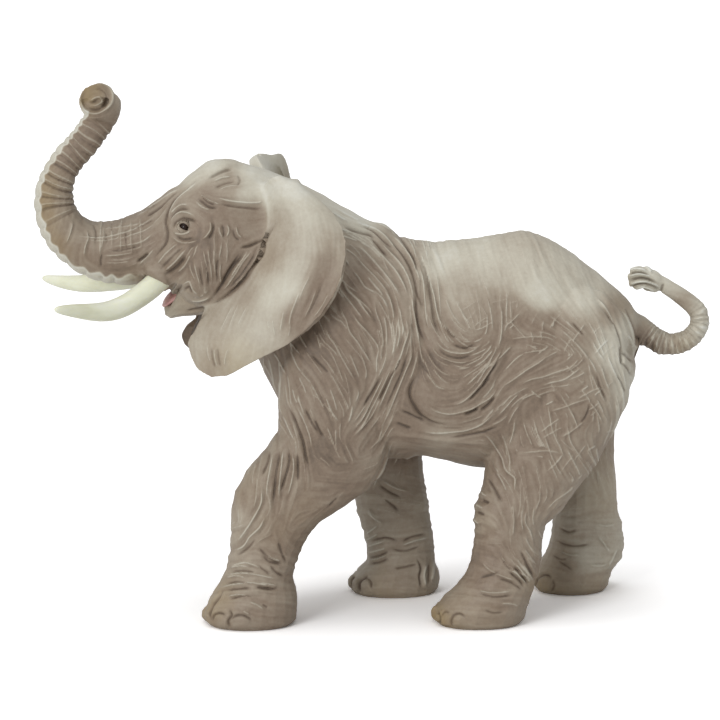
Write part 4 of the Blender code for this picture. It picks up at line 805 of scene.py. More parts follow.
# %% Folds of the head and the trunk
HEAD_FOLDS = [
    # round the eye
    (1.3, -0.6, 173, 229, 177, 222, 184, 218.5, 193, 220.5, 197, 224),
    (1.2, 0.4, 175, 226, 179, 221.5, 184, 220.5, 190, 223, 193, 227),
    (1.4, 0.45, 171, 224, 174, 217, 182, 213, 190, 214, 198, 218),
    (1.2, -0.35, 171, 221, 175, 214, 182, 210, 191, 211),
    (1.4, 0.4, 170, 216, 176, 209, 184, 206, 193, 208),
    (1.3, 0.5, 173, 231, 179, 234.5, 187, 234, 193, 230),
    (1.3, -0.4, 176, 236, 184, 239.5, 194, 238),
    (1.4, 0.35, 172, 236, 180, 242, 190, 243, 200, 240),
    # forehead and the long folds towards the trunk
    (1.5, -0.5, 190, 187, 181, 194, 173, 202, 168, 212, 166, 223, 168, 233, 166, 243, 159, 252, 151, 260),
    (1.5, 0.45, 199, 181, 188, 191, 178, 200, 171, 210, 169, 220),
    (1.3, -0.35, 180, 190, 172, 196, 162, 205, 154, 211, 147, 216),
    (1.3, 0.35, 184, 188, 172, 193, 158, 202, 144, 212, 134, 219),
    (1.4, -0.55, 163, 205, 154, 211, 146, 216), (1.2, -0.35, 158, 203, 150, 208, 141, 213),
    (1.3, 0.4, 161, 212, 151, 220, 137, 228, 121, 234, 101, 238, 84, 237, 72, 235),
    (1.2, 0.34, 159, 222, 145, 231, 130, 236, 115, 241), (1.2, -0.3, 156, 218, 142, 226, 126, 232),
    (1.2, 0.34, 156, 232, 144, 241, 130, 245, 110, 247), (1.2, 0.34, 136, 252, 119, 255, 103, 256),
    (1.2, 0.3, 132, 261, 118, 263, 104, 263), (1.2, -0.3, 140, 246, 124, 250, 106, 252),
    (1.5, -0.75, 149, 253, 143, 258, 137, 262), (1.3, 0.4, 155, 248, 147, 257, 138, 265),
    # lines across the trunk
    (1.3, 0.38, 86, 229, 88, 238, 85, 248, 84, 258), (1.3, 0.38, 73, 222, 70, 234, 66, 244),
    (1.3, 0.3, 104, 225, 103, 238, 101, 252), (1.2, -0.4, 102, 253, 101, 260, 101, 268),
    (1.3, 0.3, 120, 222, 119, 231, 118, 242), (1.2, -0.3, 92, 222, 96, 232, 95, 246),
    (1.2, -0.3, 112, 222, 112, 232),
    # muzzle
    (1.4, 0.4, 180, 242, 167, 254, 156, 267), (1.4, -0.4, 184, 246, 172, 258, 160, 270),
    (1.5, 0.45, 188, 248, 176, 262, 164, 272), (1.7, -0.85, 186, 256, 178, 265, 171, 271, 164, 275),
    (1.4, 0.4, 192, 252, 186, 264, 176, 274),
    (1.8, 0.6, 138, 271, 146, 275, 156, 275, 163, 280, 171, 288),
    # cheek
    (1.2, 0.35, 203, 248, 205, 258, 207, 270, 206, 284),
    (1.2, 0.35, 208, 246, 209, 258, 211, 270, 212, 284), (1.2, -0.3, 205, 262, 208, 276, 209, 288),
    (1.2, 0.35, 214, 246, 214, 262, 216, 276), (1.2, -0.35, 219, 256, 217, 270, 218, 284),
    (1.2, 0.35, 221, 262, 220, 274, 222, 286), (1.2, 0.35, 194, 262, 197, 274, 201, 286),
    (1.2, -0.35, 199, 266, 201, 278, 204, 288), (1.2, 0.3, 189, 262, 191, 272, 196, 282),
    (1.2, -0.4, 214, 222, 213, 232, 208, 240), (1.2, 0.4, 210, 220, 211, 229, 207, 236, 202, 240),
    (1.2, 0.4, 226, 224, 229, 230, 226, 238), (1.2, 0.35, 236, 226, 238, 234, 243, 239),
    (1.2, 0.35, 219, 226, 220, 233, 224, 240), (1.2, -0.35, 222, 224, 224, 232, 223, 239),
    (1.2, -0.35, 233, 228, 235, 236, 240, 241),
    # temple and brow
    (1.3, -0.65, 198, 198, 204, 203, 210, 207, 218, 208), (1.2, -0.5, 201, 195, 208, 202, 217, 205),
    (1.3, 0.4, 199, 193, 206, 199, 214, 203, 222, 205), (1.3, 0.4, 196, 202, 203, 208, 212, 211),
    (1.3, -0.5, 208, 178, 217, 173, 226, 169, 233, 168), (1.3, 0.35, 212, 181, 222, 176, 234, 174),
    (1.2, -0.35, 214, 187, 224, 182, 236, 180), (1.2, -0.3, 238, 172, 240, 180, 237, 186),
    (1.2, 0.3, 218, 190, 228, 186, 240, 186), (1.6, 0.5, 214, 197, 228, 201, 246, 203, 268, 203),
    (1.3, -0.35, 218, 203, 232, 206, 250, 208, 266, 209),
    # soft hollows under the folds at the root of the ear, which are listed with the ear
    (2.6, -0.5, 267, 243, 261, 258, 253, 271, 243, 282, 231, 292),
    (2.6, -0.5, 241, 251, 233, 264, 227, 274, 221, 287),
    # grid of fine lines on the lower trunk
    (1.1, 0.3, 103, 212, 101, 228, 100, 246, 101, 260), (1.1, 0.26, 113, 214, 112, 230, 112, 250),
    (1.1, 0.3, 122, 214, 121, 232, 121, 256), (1.1, 0.26, 131, 216, 131, 240, 132, 258),
    (1.1, 0.26, 140, 214, 141, 236, 142, 252), (1.1, 0.3, 84, 238, 96, 241, 110, 240, 126, 236),
    (1.1, 0.26, 104, 250, 118, 252, 134, 249, 148, 245),
    (1.1, 0.26, 100, 229, 114, 228, 130, 226, 146, 222), (1.1, 0.24, 108, 260, 122, 260, 136, 257),
    (1.1, -0.3, 106, 232, 107, 244), (1.1, -0.3, 126, 228, 126, 240, 127, 250),
    # lower jaw
    (1.5, 0.6, 180, 282, 174, 290, 169, 299, 165, 307, 164, 312),
    (1.3, -0.5, 183, 284, 177, 292, 172, 300, 168, 308),
    (1.4, 0.4, 181, 286, 189, 282, 194, 289, 200, 295), (1.4, -0.5, 183, 290, 189, 287, 193, 293),
    (1.4, -0.5, 186, 311, 201, 308, 210, 306), (1.3, 0.4, 190, 300, 201, 300, 211, 297),
    (1.3, -0.35, 196, 304, 206, 302, 214, 298),
    # rim and nostrils of the tip
    (1.6, 0.6, 88, 86, 97, 84, 107, 87, 112, 94, 111, 103, 105, 110, 96, 114, 87, 112, 81, 105, 80,
     97, 83, 90, 88, 86),
    (1.8, -0.32, 90, 90, 99, 89, 106, 94, 106, 102, 99, 109, 90, 108, 85, 101),
    (1.5, 0.4, 88, 104, 93, 99, 99, 97, 102, 101, 98, 105, 91, 107),
    (1.2, -0.35, 88, 103, 93, 102, 98, 100),
]

# %% Folds of the ear
ROOT_FOLDS = [
    # the deep folds at the root of the ear, which lie on the head and on the ear
    (1.5, -0.9, 277, 222, 268, 236, 265, 243, 262, 256, 250, 270, 240, 283, 225, 297, 213, 305),
    (1.4, -0.8, 268, 240, 259, 242, 249, 246, 240, 248),
    (1.5, -0.9, 245, 252, 239, 260, 232, 268, 222, 285, 212, 300),
    (1.2, -0.4, 258, 250, 250, 262, 241, 275, 228, 290),
    (1.2, 0.4, 262, 246, 254, 262, 244, 276, 230, 292),
    (1.2, 0.4, 254, 248, 243, 262, 234, 276, 222, 292), (1.2, 0.35, 249, 250, 239, 264, 229, 280),
]
EAR_FOLDS = [
    (1.5, 0.4, 330, 200, 342, 222, 347, 239, 349, 251, 347, 266, 341, 281, 335, 296, 326, 312, 314,
     328, 300, 341, 287, 347, 276, 350),
    (1.5, 0.3, 301, 289, 296, 302, 291, 316, 289, 330), (1.3, 0.2, 311, 274, 303, 290, 298, 304),
    (1.3, 0.22, 316, 288, 310, 305, 303, 321), (1.3, -0.2, 322, 282, 315, 300, 306, 318),
    (1.3, 0.2, 330, 290, 322, 306, 312, 320), (1.2, -0.26, 212, 348, 213, 359, 216, 369),
    (1.2, -0.26, 218, 347, 219, 358, 221, 368), (1.2, 0.26, 215, 347, 216, 358, 219, 369),
    (1.2, 0.26, 229, 348, 226, 358, 225, 367), (1.2, 0.2, 208, 344, 209, 354, 212, 364),
    (1.2, 0.18, 240, 302, 234, 316, 229, 330), (1.2, 0.18, 248, 306, 242, 318, 238, 328),
    (1.2, 0.18, 234, 304, 226, 320, 220, 334), (1.2, 0.2, 273, 318, 274, 328, 276, 338),
    (1.2, 0.2, 285, 309, 282, 322, 280, 334), (1.2, 0.18, 291, 322, 290, 330, 288, 338),
    (1.2, 0.18, 268, 320, 270, 330), (1.3, -0.3, 206, 312, 198, 322, 192, 336),
]
FOLDS = {"body": BODY_FOLDS, "head": HEAD_FOLDS + ROOT_FOLDS, "ear": EAR_FOLDS + ROOT_FOLDS}
print("folds drawn:", {sheet: len(folds) for sheet, folds in FOLDS.items()})


# %% Draw the folds on their sheets
def smooth_line(corners, spacing=1.0):
    """A smooth line through the corners, with a point about every pixel."""
    given = np.array(corners, float)
    if len(given) == 2:
        given = np.array([given[0], given.mean(0), given[1]])
    padded = np.vstack([2 * given[0] - given[1], given, 2 * given[-1] - given[-2]])
    made = []
    for i in range(1, len(padded) - 2):
        before, here, after, later = padded[i - 1 : i + 3]
        steps = max(2, int(np.linalg.norm(after - here) / spacing))
        t = np.linspace(0, 1, steps, endpoint=False)[:, None]
        made.append(
            here
            + (after - before) * t / 2
            + (2 * before - 5 * here + 4 * after - later) * t**2 / 2
            + (3 * here - before - 3 * after + later) * t**3 / 2
        )
    return np.vstack(made + [padded[-2][None]])


LINE_SEEN = 1.35               # reach in pixels of each drawn line in the paint
LINE_SHADE = (1.5, 1.0)        # where the painted shadow beside a raised line falls, right of it and below it, in pixels


def draw_folds(sheet):
    (x0, y0), _ = SHEET_FRAMES[sheet]
    xx, yy = sheet_grid(sheet)
    relief = np.zeros(xx.shape)
    line_map = np.zeros((2, *xx.shape))
    for width, height, *corners in FOLDS[sheet]:
        line = smooth_line(np.reshape(corners, (-1, 2)))
        reach = 4 * width
        c0, r0 = ((line.min(0) - reach - (x0, y0)) / STEP).astype(int).clip(0)
        c1, r1 = ((line.max(0) + reach - (x0, y0)) / STEP).astype(int)
        gx, gy = xx[r0:r1, c0:c1], yy[r0:r1, c0:c1]
        if gx.size == 0:
            continue
        nearest = np.full(gx.shape, 1e9)
        taper = np.zeros(gx.shape)
        ends = np.linspace(0, 1, len(line))
        strength = np.clip(np.minimum(ends, 1 - ends) * 5, 0, 1) ** 0.7
        for (x, y), s in zip(line, strength):
            away = (gx - x) ** 2 + (gy - y) ** 2
            closer = away < nearest
            nearest[closer] = away[closer]
            taper[closer] = s
        across = np.sqrt(nearest) / width
        bump = np.exp(-(across**2)) * taper
        shoulders = np.exp(-((across - 2.0) ** 2)) * taper
        relief[r0:r1, c0:c1] += height * MM * (bump - 0.28 * shoulders)
        seen = np.exp(-((np.sqrt(nearest) / LINE_SEEN) ** 2)) * taper
        lines = line_map[0 if height > 0 else 1][r0:r1, c0:c1]
        np.maximum(lines, min(1, 0.5 + abs(height)) * seen, out=lines)
    return relief, line_map


drawn = {sheet: draw_folds(sheet) for sheet in SHEET_FRAMES}
print("folds carved to", {s: round(d[0].min() / MM, 2) for s, d in drawn.items()}, "mm")

# %% [markdown]
# ## The lay of the skin
# Real skin wrinkles follow a lay, as hair does. The drawn folds already show it, and short strokes
# add it where nothing is drawn. Between the strokes the direction is blended, by doubling each
# angle so that a line and its reverse count as the same lay.

# %% Strokes that only set the lay
LAY = {
    "body": [
        (330, 190, 372, 214), (345, 208, 380, 226), (428, 246, 436, 268), (450, 244, 461, 274),
        (474, 242, 486, 280), (496, 240, 510, 280), (520, 236, 534, 266), (548, 244, 562, 276),
        (575, 262, 590, 296), (600, 284, 616, 316), (470, 290, 478, 310), (530, 290, 545, 310),
        (560, 300, 580, 325), (622, 318, 632, 350), (628, 360, 626, 400), (622, 410, 610, 445),
        (612, 400, 618, 420), (400, 440, 480, 452), (420, 455, 478, 464), (282, 384, 282, 400),
        (285, 360, 290, 385), (300, 440, 304, 470), (320, 480, 350, 482), (340, 470, 372, 462),
        (300, 500, 330, 502), (310, 520, 330, 508), (236, 500, 240, 520), (234, 530, 250, 528),
        (230, 556, 290, 558), (222, 572, 292, 572), (214, 588, 296, 590), (208, 600, 298, 602),
        (206, 614, 298, 616), (240, 620, 290, 624), (362, 506, 420, 500), (364, 524, 426, 516),
        (366, 540, 432, 534), (366, 556, 434, 552), (356, 572, 436, 570), (350, 588, 436, 590),
        (476, 536, 500, 540), (470, 556, 498, 560), (462, 574, 530, 584), (448, 590, 530, 594),
        (438, 604, 526, 606), (434, 620, 520, 620), (504, 520, 512, 545), (540, 520, 552, 500),
        (560, 500, 580, 480), (560, 516, 612, 512), (556, 530, 618, 530), (548, 546, 622, 548),
        (542, 562, 620, 564), (538, 580, 612, 580), (536, 592, 606, 594), (600, 470, 610, 500),
        (560, 470, 572, 490), (460, 380, 480, 366), (436, 400, 460, 396), (500, 300, 500, 340),
        (640, 326, 654, 338), (680, 286, 660, 282), (520, 470, 526, 500), (540, 460, 546, 490),
        (395, 470, 420, 476), (250, 470, 262, 450),
    ],
    "head": [
        (258, 166, 230, 162), (222, 163, 196, 174), (250, 178, 280, 184), (240, 196, 280, 198),
        (236, 210, 270, 212), (244, 226, 270, 222), (100, 120, 116, 126), (90, 140, 104, 150),
        (180, 300, 200, 304), (176, 310, 196, 312), (216, 300, 226, 290), (150, 238, 120, 246),
        (88, 262, 110, 272), (200, 230, 204, 244), (246, 232, 262, 230),
    ],
    "ear": [
        (250, 196, 290, 200), (300, 188, 330, 204), (296, 220, 300, 250), (320, 224, 326, 252),
        (340, 240, 338, 266), (280, 250, 276, 290), (262, 262, 240, 300), (250, 330, 240, 352),
        (200, 340, 202, 364), (224, 320, 214, 344), (264, 330, 262, 350), (240, 356, 236, 366),
    ],
}
LAY_STEP = 5


def lay_of_skin(sheet):
    """The direction of the wrinkles at every cell of a sheet, as the two parts of a unit arrow."""
    strokes = [fold[2:] for fold in FOLDS[sheet]] + LAY[sheet]
    spots, angles = [], []
    for corners in strokes:
        line = smooth_line(np.reshape(corners, (-1, 2)), 4.0)
        travel = np.diff(line, axis=0)
        spots.append((line[1:] + line[:-1]) / 2)
        angles.append(np.arctan2(travel[:, 1], travel[:, 0]))
    angles = np.concatenate(angles)
    away, shape = coarse_distances(sheet, LAY_STEP, np.vstack(spots))
    weight = 1 / (away + 16) ** 1.6
    double_x = (weight @ np.cos(2 * angles)).reshape(shape)
    double_y = (weight @ np.sin(2 * angles)).reshape(shape)
    over, down = (from_coarse(double, sheet, LAY_STEP) for double in (double_x, double_y))
    angle = np.arctan2(down, over) / 2
    return np.cos(angle).astype(np.float32), np.sin(angle).astype(np.float32)


# %% [markdown]
# The soft folds and the finest hatch come from combing: a random grain is dragged along the lay, so
# that it turns into streaks that follow every bend of it. The thin raised lines are strokes: each
# starts somewhere at random and runs along the lay for a while, or across it.

# %% Comb a grain along the lay
random = np.random.default_rng(7)


def combed(grain, lay, steps):
    """A grain dragged along the lay, over a number of half pixels both ways."""
    dir_x, dir_y = lay
    rows, columns = dir_x.shape
    start_r, start_c = np.mgrid[0:rows, 0:columns].astype(np.float32)
    total = grain.copy()
    for way in (1, -1):
        r, k = start_r.copy(), start_c.copy()
        go_x, go_y = dir_x * way, dir_y * way
        for step in range(1, steps + 1):
            k += go_x / STEP
            r += go_y / STEP
            ri = np.clip(np.rint(r), 0, rows - 1).astype(np.int32)
            ki = np.clip(np.rint(k), 0, columns - 1).astype(np.int32)
            cell = ri * columns + ki
            nx, ny = dir_x.ravel()[cell], dir_y.ravel()[cell]
            same = np.where(nx * go_x + ny * go_y < 0, -1, 1).astype(np.float32)
            go_x, go_y = nx * same, ny * same
            share = math.cos(math.pi / 2 * step / (steps + 1)) ** 2
            total += share * grain.ravel()[cell]
    return total / total.std()


def new_grain(sheet, pitch):
    xx, _ = sheet_grid(sheet)
    soft = blur(random.standard_normal(xx.shape), pitch / 4.44)
    return (soft / soft.std()).astype(np.float32)


MOST_TURN = 0.8                # in radians, after which a stroke ends


def stroke_map(sheet, lay, number, turn, lengths, strength, breadth=1.25):
    """Thin lines that each follow the lay, turned by an angle, for a length in pixels."""
    (x0, y0), (x1, y1) = SHEET_FRAMES[sheet]
    rows, columns = lay[0].shape
    x, y = random.uniform(x0, x1, number), random.uniform(y0, y1, number)
    lean = turn + random.normal(0, STROKE_LEAN, number)
    length = random.uniform(*lengths, number)
    force = random.uniform(0.65, 1.0, number)
    go_x, go_y = np.zeros(number), np.zeros(number)
    turned = np.zeros(number)
    made = []
    for step in range(int(lengths[1] / STEP)):
        column = np.clip(((x - x0) / STEP).astype(int), 0, columns - 1)
        row = np.clip(((y - y0) / STEP).astype(int), 0, rows - 1)
        c, s = lay[0][row, column], lay[1][row, column]
        new_x, new_y = c * np.cos(lean) - s * np.sin(lean), c * np.sin(lean) + s * np.cos(lean)
        same = np.where(new_x * go_x + new_y * go_y < 0, -1, 1)
        turned += np.abs(new_x * go_y - new_y * go_x)
        go_x, go_y = new_x * same, new_y * same
        x, y = x + go_x * STEP, y + go_y * STEP
        share = step * STEP / length
        taper = np.clip(np.minimum(share, 1 - share) * 5, 0, 1)
        straight = np.clip((MOST_TURN - turned) * 5, 0, 1)
        made.append(np.stack([x, y, force * taper * straight * strength[row, column]]))
    x, y, value = np.hstack(made)
    kept = value > 0.1
    x, y, value = x[kept], y[kept], value[kept]
    field = np.zeros(rows * columns)
    near = int(2.2 * breadth / STEP)
    column, row = np.rint((x - x0) / STEP).astype(int), np.rint((y - y0) / STEP).astype(int)
    for down in range(-near, near + 1):
        for over in range(-near, near + 1):
            c = np.clip(column + over, 0, columns - 1)
            r = np.clip(row + down, 0, rows - 1)
            away = (c * STEP + x0 - x) ** 2 + (r * STEP + y0 - y) ** 2
            np.maximum.at(field, r * columns + c, value * np.exp(-away / breadth**2))
    return field.reshape(rows, columns)


FOLD_PITCH = 6.0               # in pixels, across the streaks
FINE_PITCH = 3.2
FOLD_STEPS = 13
FINE_STEPS = 26
lays = {sheet: lay_of_skin(sheet) for sheet in SHEET_FRAMES}
streaks = {}
for sheet, lay in lays.items():
    fine = combed(new_grain(sheet, FINE_PITCH), lay, FINE_STEPS)
    folds = combed(new_grain(sheet, FOLD_PITCH), lay, FOLD_STEPS)
    streaks[sheet] = (folds, fine)
print("combed sheets:", list(streaks))

# %% [markdown]
# ## How rough and how pale each region is
# The skin is not wrinkled alike everywhere. Marks placed on the side view say, for the region round
# them, how high the thin lines, soft folds, fine hatch and crossing lines stand in hundredths of a
# millimetre, how pale the paint is from 0 for brown to 100 for nearly white, and how much ochre is
# rubbed in, of 100. Each row starts with the place of its mark.

# %% Marks for the regions
MARKS = {
    "body": [
        (320, 196, 5, 8, 4, 0, 90, 0), (360, 220, 10, 10, 5, 0, 92, 0),
        (396, 236, 15, 15, 5, 0, 60, 0), (352, 246, 20, 12, 5, 0, 50, 0),
        (385, 262, 22, 18, 5, 0, 38, 0), (410, 262, 18, 22, 5, 0, 50, 0),
        (360, 285, 24, 10, 5, 0, 20, 0), (345, 320, 24, 6, 4, 0, 14, 0),
        (385, 320, 24, 8, 4, 0, 14, 0), (310, 350, 16, 6, 5, 5, 6, 0),
        (345, 380, 20, 6, 5, 4, 22, 0), (300, 385, 16, 6, 6, 6, 26, 0),
        (283, 400, 10, 10, 6, 0, 50, 0), (330, 415, 16, 8, 6, 4, 16, 0),
        (400, 330, 10, 14, 5, 0, 40, 0), (414, 330, 10, 20, 5, 0, 36, 0),
        (385, 395, 14, 16, 6, 0, 42, 0), (360, 420, 14, 12, 6, 0, 30, 0),
        (440, 262, 4, 6, 8, 0, 90, 0), (434, 300, 10, 18, 5, 0, 55, 0),
        (480, 255, 5, 6, 5, 0, 84, 0), (520, 240, 5, 8, 5, 0, 70, 0), (520, 268, 6, 6, 5, 0, 78, 0),
        (540, 295, 3, 3, 5, 0, 92, 0), (590, 300, 4, 5, 6, 0, 88, 0), (575, 265, 4, 6, 7, 0, 80, 0),
        (608, 312, 5, 8, 5, 0, 52, 0), (622, 305, 4, 6, 5, 0, 52, 10),
        (624, 340, 5, 8, 6, 0, 100, 0), (460, 290, 6, 5, 5, 3, 64, 0),
        (470, 320, 10, 8, 6, 10, 52, 0), (448, 340, 12, 12, 5, 0, 24, 0),
        (430, 362, 16, 10, 5, 0, 0, 0), (470, 370, 12, 10, 6, 0, 14, 0),
        (460, 395, 6, 8, 6, 0, 20, 0), (432, 395, 6, 8, 5, 0, 26, 0), (405, 400, 5, 8, 5, 0, 12, 0),
        (412, 424, 5, 6, 4, 0, 16, 0), (440, 440, 3, 6, 6, 0, 58, 0), (455, 458, 3, 6, 6, 0, 46, 0),
        (495, 400, 10, 14, 5, 0, 26, 0), (500, 330, 10, 6, 6, 8, 26, 0),
        (520, 320, 12, 5, 6, 12, 20, 0), (545, 335, 14, 6, 6, 12, 20, 0),
        (530, 365, 18, 5, 6, 0, 24, 0), (565, 360, 18, 5, 6, 10, 28, 0),
        (585, 340, 14, 5, 6, 14, 44, 0), (605, 345, 10, 6, 6, 14, 84, 0),
        (600, 385, 18, 6, 5, 14, 46, 0), (622, 385, 12, 10, 6, 0, 86, 0),
        (620, 360, 6, 8, 6, 0, 92, 0), (540, 410, 12, 5, 6, 20, 16, 0),
        (580, 410, 12, 5, 6, 20, 28, 0), (610, 420, 14, 8, 5, 10, 55, 0),
        (508, 425, 12, 12, 5, 0, 18, 0), (540, 445, 12, 6, 6, 16, 26, 0),
        (580, 450, 14, 8, 6, 14, 42, 0), (505, 465, 12, 14, 5, 0, 24, 0),
        (535, 480, 8, 8, 6, 4, 24, 0), (570, 480, 10, 8, 6, 8, 50, 0),
        (490, 500, 6, 14, 5, 0, 38, 0), (484, 520, 5, 14, 5, 0, 46, 10),
        (510, 520, 10, 12, 5, 0, 24, 0), (535, 530, 10, 12, 5, 0, 50, 0),
        (490, 555, 6, 14, 5, 0, 12, 0), (525, 570, 10, 14, 5, 0, 42, 0),
        (490, 590, 6, 14, 6, 0, 26, 0), (480, 615, 3, 6, 6, 0, 42, 10),
        (434, 614, 2, 4, 4, 0, 20, 90), (450, 605, 3, 8, 5, 0, 44, 10),
        (520, 605, 4, 8, 5, 0, 52, 0), (265, 455, 6, 14, 5, 0, 46, 0),
        (250, 485, 8, 14, 5, 0, 48, 10), (275, 490, 8, 14, 5, 0, 28, 0),
        (240, 525, 8, 12, 5, 0, 60, 0), (270, 530, 6, 10, 5, 0, 30, 10),
        (300, 510, 5, 8, 6, 0, 30, 10), (340, 485, 5, 6, 7, 0, 30, 0), (330, 450, 8, 6, 7, 5, 4, 0),
        (376, 455, 8, 10, 6, 0, 46, 0), (240, 560, 5, 14, 5, 0, 56, 0),
        (275, 565, 6, 14, 5, 0, 36, 0), (250, 590, 5, 16, 6, 0, 42, 0),
        (285, 600, 3, 8, 6, 0, 50, 0), (215, 600, 3, 8, 5, 0, 54, 40),
        (240, 618, 2, 4, 5, 0, 38, 0), (280, 620, 2, 4, 6, 0, 34, 0),
        (400, 465, 6, 10, 5, 0, 12, 0), (400, 500, 8, 14, 5, 0, 34, 0),
        (370, 525, 6, 16, 5, 0, 46, 0), (400, 545, 6, 14, 5, 0, 38, 0),
        (428, 520, 6, 14, 5, 0, 40, 0), (362, 572, 3, 12, 5, 0, 50, 0),
        (380, 585, 3, 5, 6, 0, 20, 20), (410, 580, 3, 6, 6, 0, 20, 0),
        (432, 575, 4, 10, 5, 0, 30, 0), (570, 525, 5, 16, 5, 0, 52, 0),
        (600, 500, 4, 10, 5, 0, 52, 20), (612, 540, 4, 12, 5, 0, 58, 0),
        (590, 560, 4, 16, 5, 0, 68, 0), (560, 575, 3, 10, 5, 0, 24, 10),
        (545, 588, 2, 5, 5, 0, 26, 50), (590, 590, 2, 5, 5, 0, 26, 20),
        (644, 342, 0, 5, 5, 0, 20, 0), (640, 318, 0, 5, 5, 0, 70, 0), (639, 334, 0, 5, 5, 0, 0, 0),
        (646, 350, 0, 5, 5, 0, 12, 0), (631, 330, 4, 6, 5, 0, 95, 0), (656, 330, 0, 5, 5, 0, 74, 0),
        (666, 350, 0, 5, 5, 0, 60, 0), (684, 350, 0, 5, 5, 0, 62, 30),
        (704, 330, 0, 5, 5, 0, 92, 0), (690, 318, 0, 5, 5, 0, 72, 0), (700, 300, 0, 5, 5, 0, 84, 0),
        (684, 302, 0, 5, 5, 0, 50, 0), (676, 284, 0, 5, 5, 0, 86, 0), (662, 280, 0, 5, 5, 0, 86, 0),
        (646, 268, 0, 5, 5, 0, 95, 0), (640, 284, 0, 5, 5, 0, 86, 0), (630, 276, 0, 5, 5, 0, 86, 0),
    ],
    "head": [
        (100, 96, 0, 4, 5, 0, 30, 20), (88, 92, 0, 3, 4, 0, 26, 80), (118, 100, 5, 6, 6, 0, 60, 0),
        (104, 122, 6, 6, 5, 0, 16, 0), (90, 140, 4, 5, 5, 0, 10, 0), (70, 162, 3, 5, 5, 0, 10, 0),
        (66, 186, 3, 5, 5, 0, 52, 0), (46, 186, 2, 4, 5, 0, 30, 50), (44, 202, 2, 4, 5, 0, 32, 70),
        (47, 216, 2, 4, 5, 0, 32, 60), (60, 205, 2, 4, 5, 0, 46, 0), (70, 225, 3, 5, 5, 0, 54, 0),
        (60, 242, 2, 4, 5, 0, 28, 50), (82, 255, 3, 4, 5, 0, 24, 10), (100, 228, 5, 5, 5, 0, 52, 0),
        (100, 252, 9, 6, 5, 0, 36, 0), (130, 222, 6, 8, 5, 0, 40, 0),
        (130, 248, 10, 8, 5, 0, 28, 0), (122, 266, 5, 6, 5, 0, 16, 0),
        (156, 216, 8, 10, 5, 0, 42, 0), (155, 236, 6, 6, 5, 0, 22, 0),
        (150, 266, 6, 10, 5, 0, 46, 0), (170, 252, 8, 12, 5, 0, 42, 0),
        (180, 272, 8, 8, 5, 0, 8, 0), (178, 196, 8, 10, 5, 0, 56, 0), (190, 178, 3, 4, 4, 0, 88, 0),
        (215, 165, 2, 3, 3, 0, 100, 0), (250, 172, 2, 3, 2, 0, 96, 0),
        (268, 190, 1, 2, 2, 0, 100, 0), (245, 196, 2, 3, 3, 0, 88, 0),
        (226, 176, 6, 8, 5, 0, 48, 0), (232, 184, 4, 6, 5, 0, 42, 0),
        (205, 197, 5, 10, 5, 0, 28, 0), (190, 204, 10, 8, 4, 0, 52, 0),
        (183, 227, 2, 4, 3, 0, 40, 0), (172, 230, 8, 6, 4, 0, 40, 0), (200, 225, 9, 8, 5, 0, 8, 0),
        (220, 212, 3, 8, 4, 0, 18, 0), (215, 232, 10, 10, 4, 0, 8, 0),
        (250, 213, 2, 4, 5, 0, 24, 0), (250, 228, 2, 5, 4, 0, 34, 0), (232, 236, 9, 8, 4, 0, 16, 0),
        (205, 258, 10, 12, 4, 0, 10, 0), (222, 262, 10, 12, 4, 0, 20, 0),
        (205, 280, 9, 12, 4, 0, 10, 0), (245, 262, 7, 8, 4, 0, 18, 0),
        (230, 284, 8, 8, 4, 0, 18, 0), (176, 296, 3, 6, 4, 0, 62, 10),
        (190, 300, 8, 8, 4, 0, 56, 10), (170, 310, 2, 5, 4, 0, 72, 20),
        (205, 302, 10, 8, 4, 0, 60, 0), (196, 241, 10, 8, 4, 0, 0, 0), (72, 236, 3, 5, 5, 0, 46, 0),
        (90, 246, 3, 5, 5, 0, 40, 0), (192, 313, 3, 8, 4, 0, 50, 10), (180, 286, 3, 8, 4, 0, 62, 0),
    ],
    "ear": [
        (262, 188, 1, 1, 2, 0, 100, 0), (296, 190, 1, 2, 2, 0, 100, 0),
        (262, 204, 1, 2, 2, 0, 90, 0), (280, 218, 1, 2, 2, 0, 60, 0), (286, 240, 1, 2, 3, 0, 62, 0),
        (268, 256, 1, 2, 3, 0, 52, 10), (308, 215, 2, 3, 4, 0, 86, 0),
        (334, 215, 3, 4, 5, 0, 76, 0), (310, 245, 3, 4, 6, 0, 76, 0), (340, 245, 3, 4, 5, 0, 62, 0),
        (300, 270, 2, 3, 4, 0, 78, 0), (292, 290, 2, 3, 3, 0, 92, 0), (328, 262, 3, 4, 4, 0, 40, 0),
        (324, 285, 4, 5, 4, 0, 10, 0), (312, 305, 5, 6, 4, 0, 8, 0), (300, 325, 5, 6, 4, 0, 20, 0),
        (343, 262, 2, 3, 4, 0, 56, 0), (336, 288, 2, 3, 4, 0, 40, 0), (310, 328, 2, 3, 4, 0, 44, 0),
        (285, 335, 3, 4, 4, 0, 66, 0), (270, 300, 2, 3, 3, 0, 84, 0), (262, 330, 3, 4, 4, 0, 78, 0),
        (248, 296, 3, 4, 4, 0, 56, 0), (240, 322, 4, 4, 4, 0, 68, 0), (215, 325, 4, 4, 4, 0, 62, 0),
        (205, 345, 5, 5, 4, 0, 66, 0), (220, 358, 6, 5, 4, 0, 56, 20),
        (240, 352, 5, 5, 4, 0, 78, 30), (236, 366, 3, 4, 4, 0, 80, 50),
        (215, 371, 3, 4, 4, 0, 56, 10),
    ],
}
MARK_STEP = 4
MARK_BLUR = 5.0


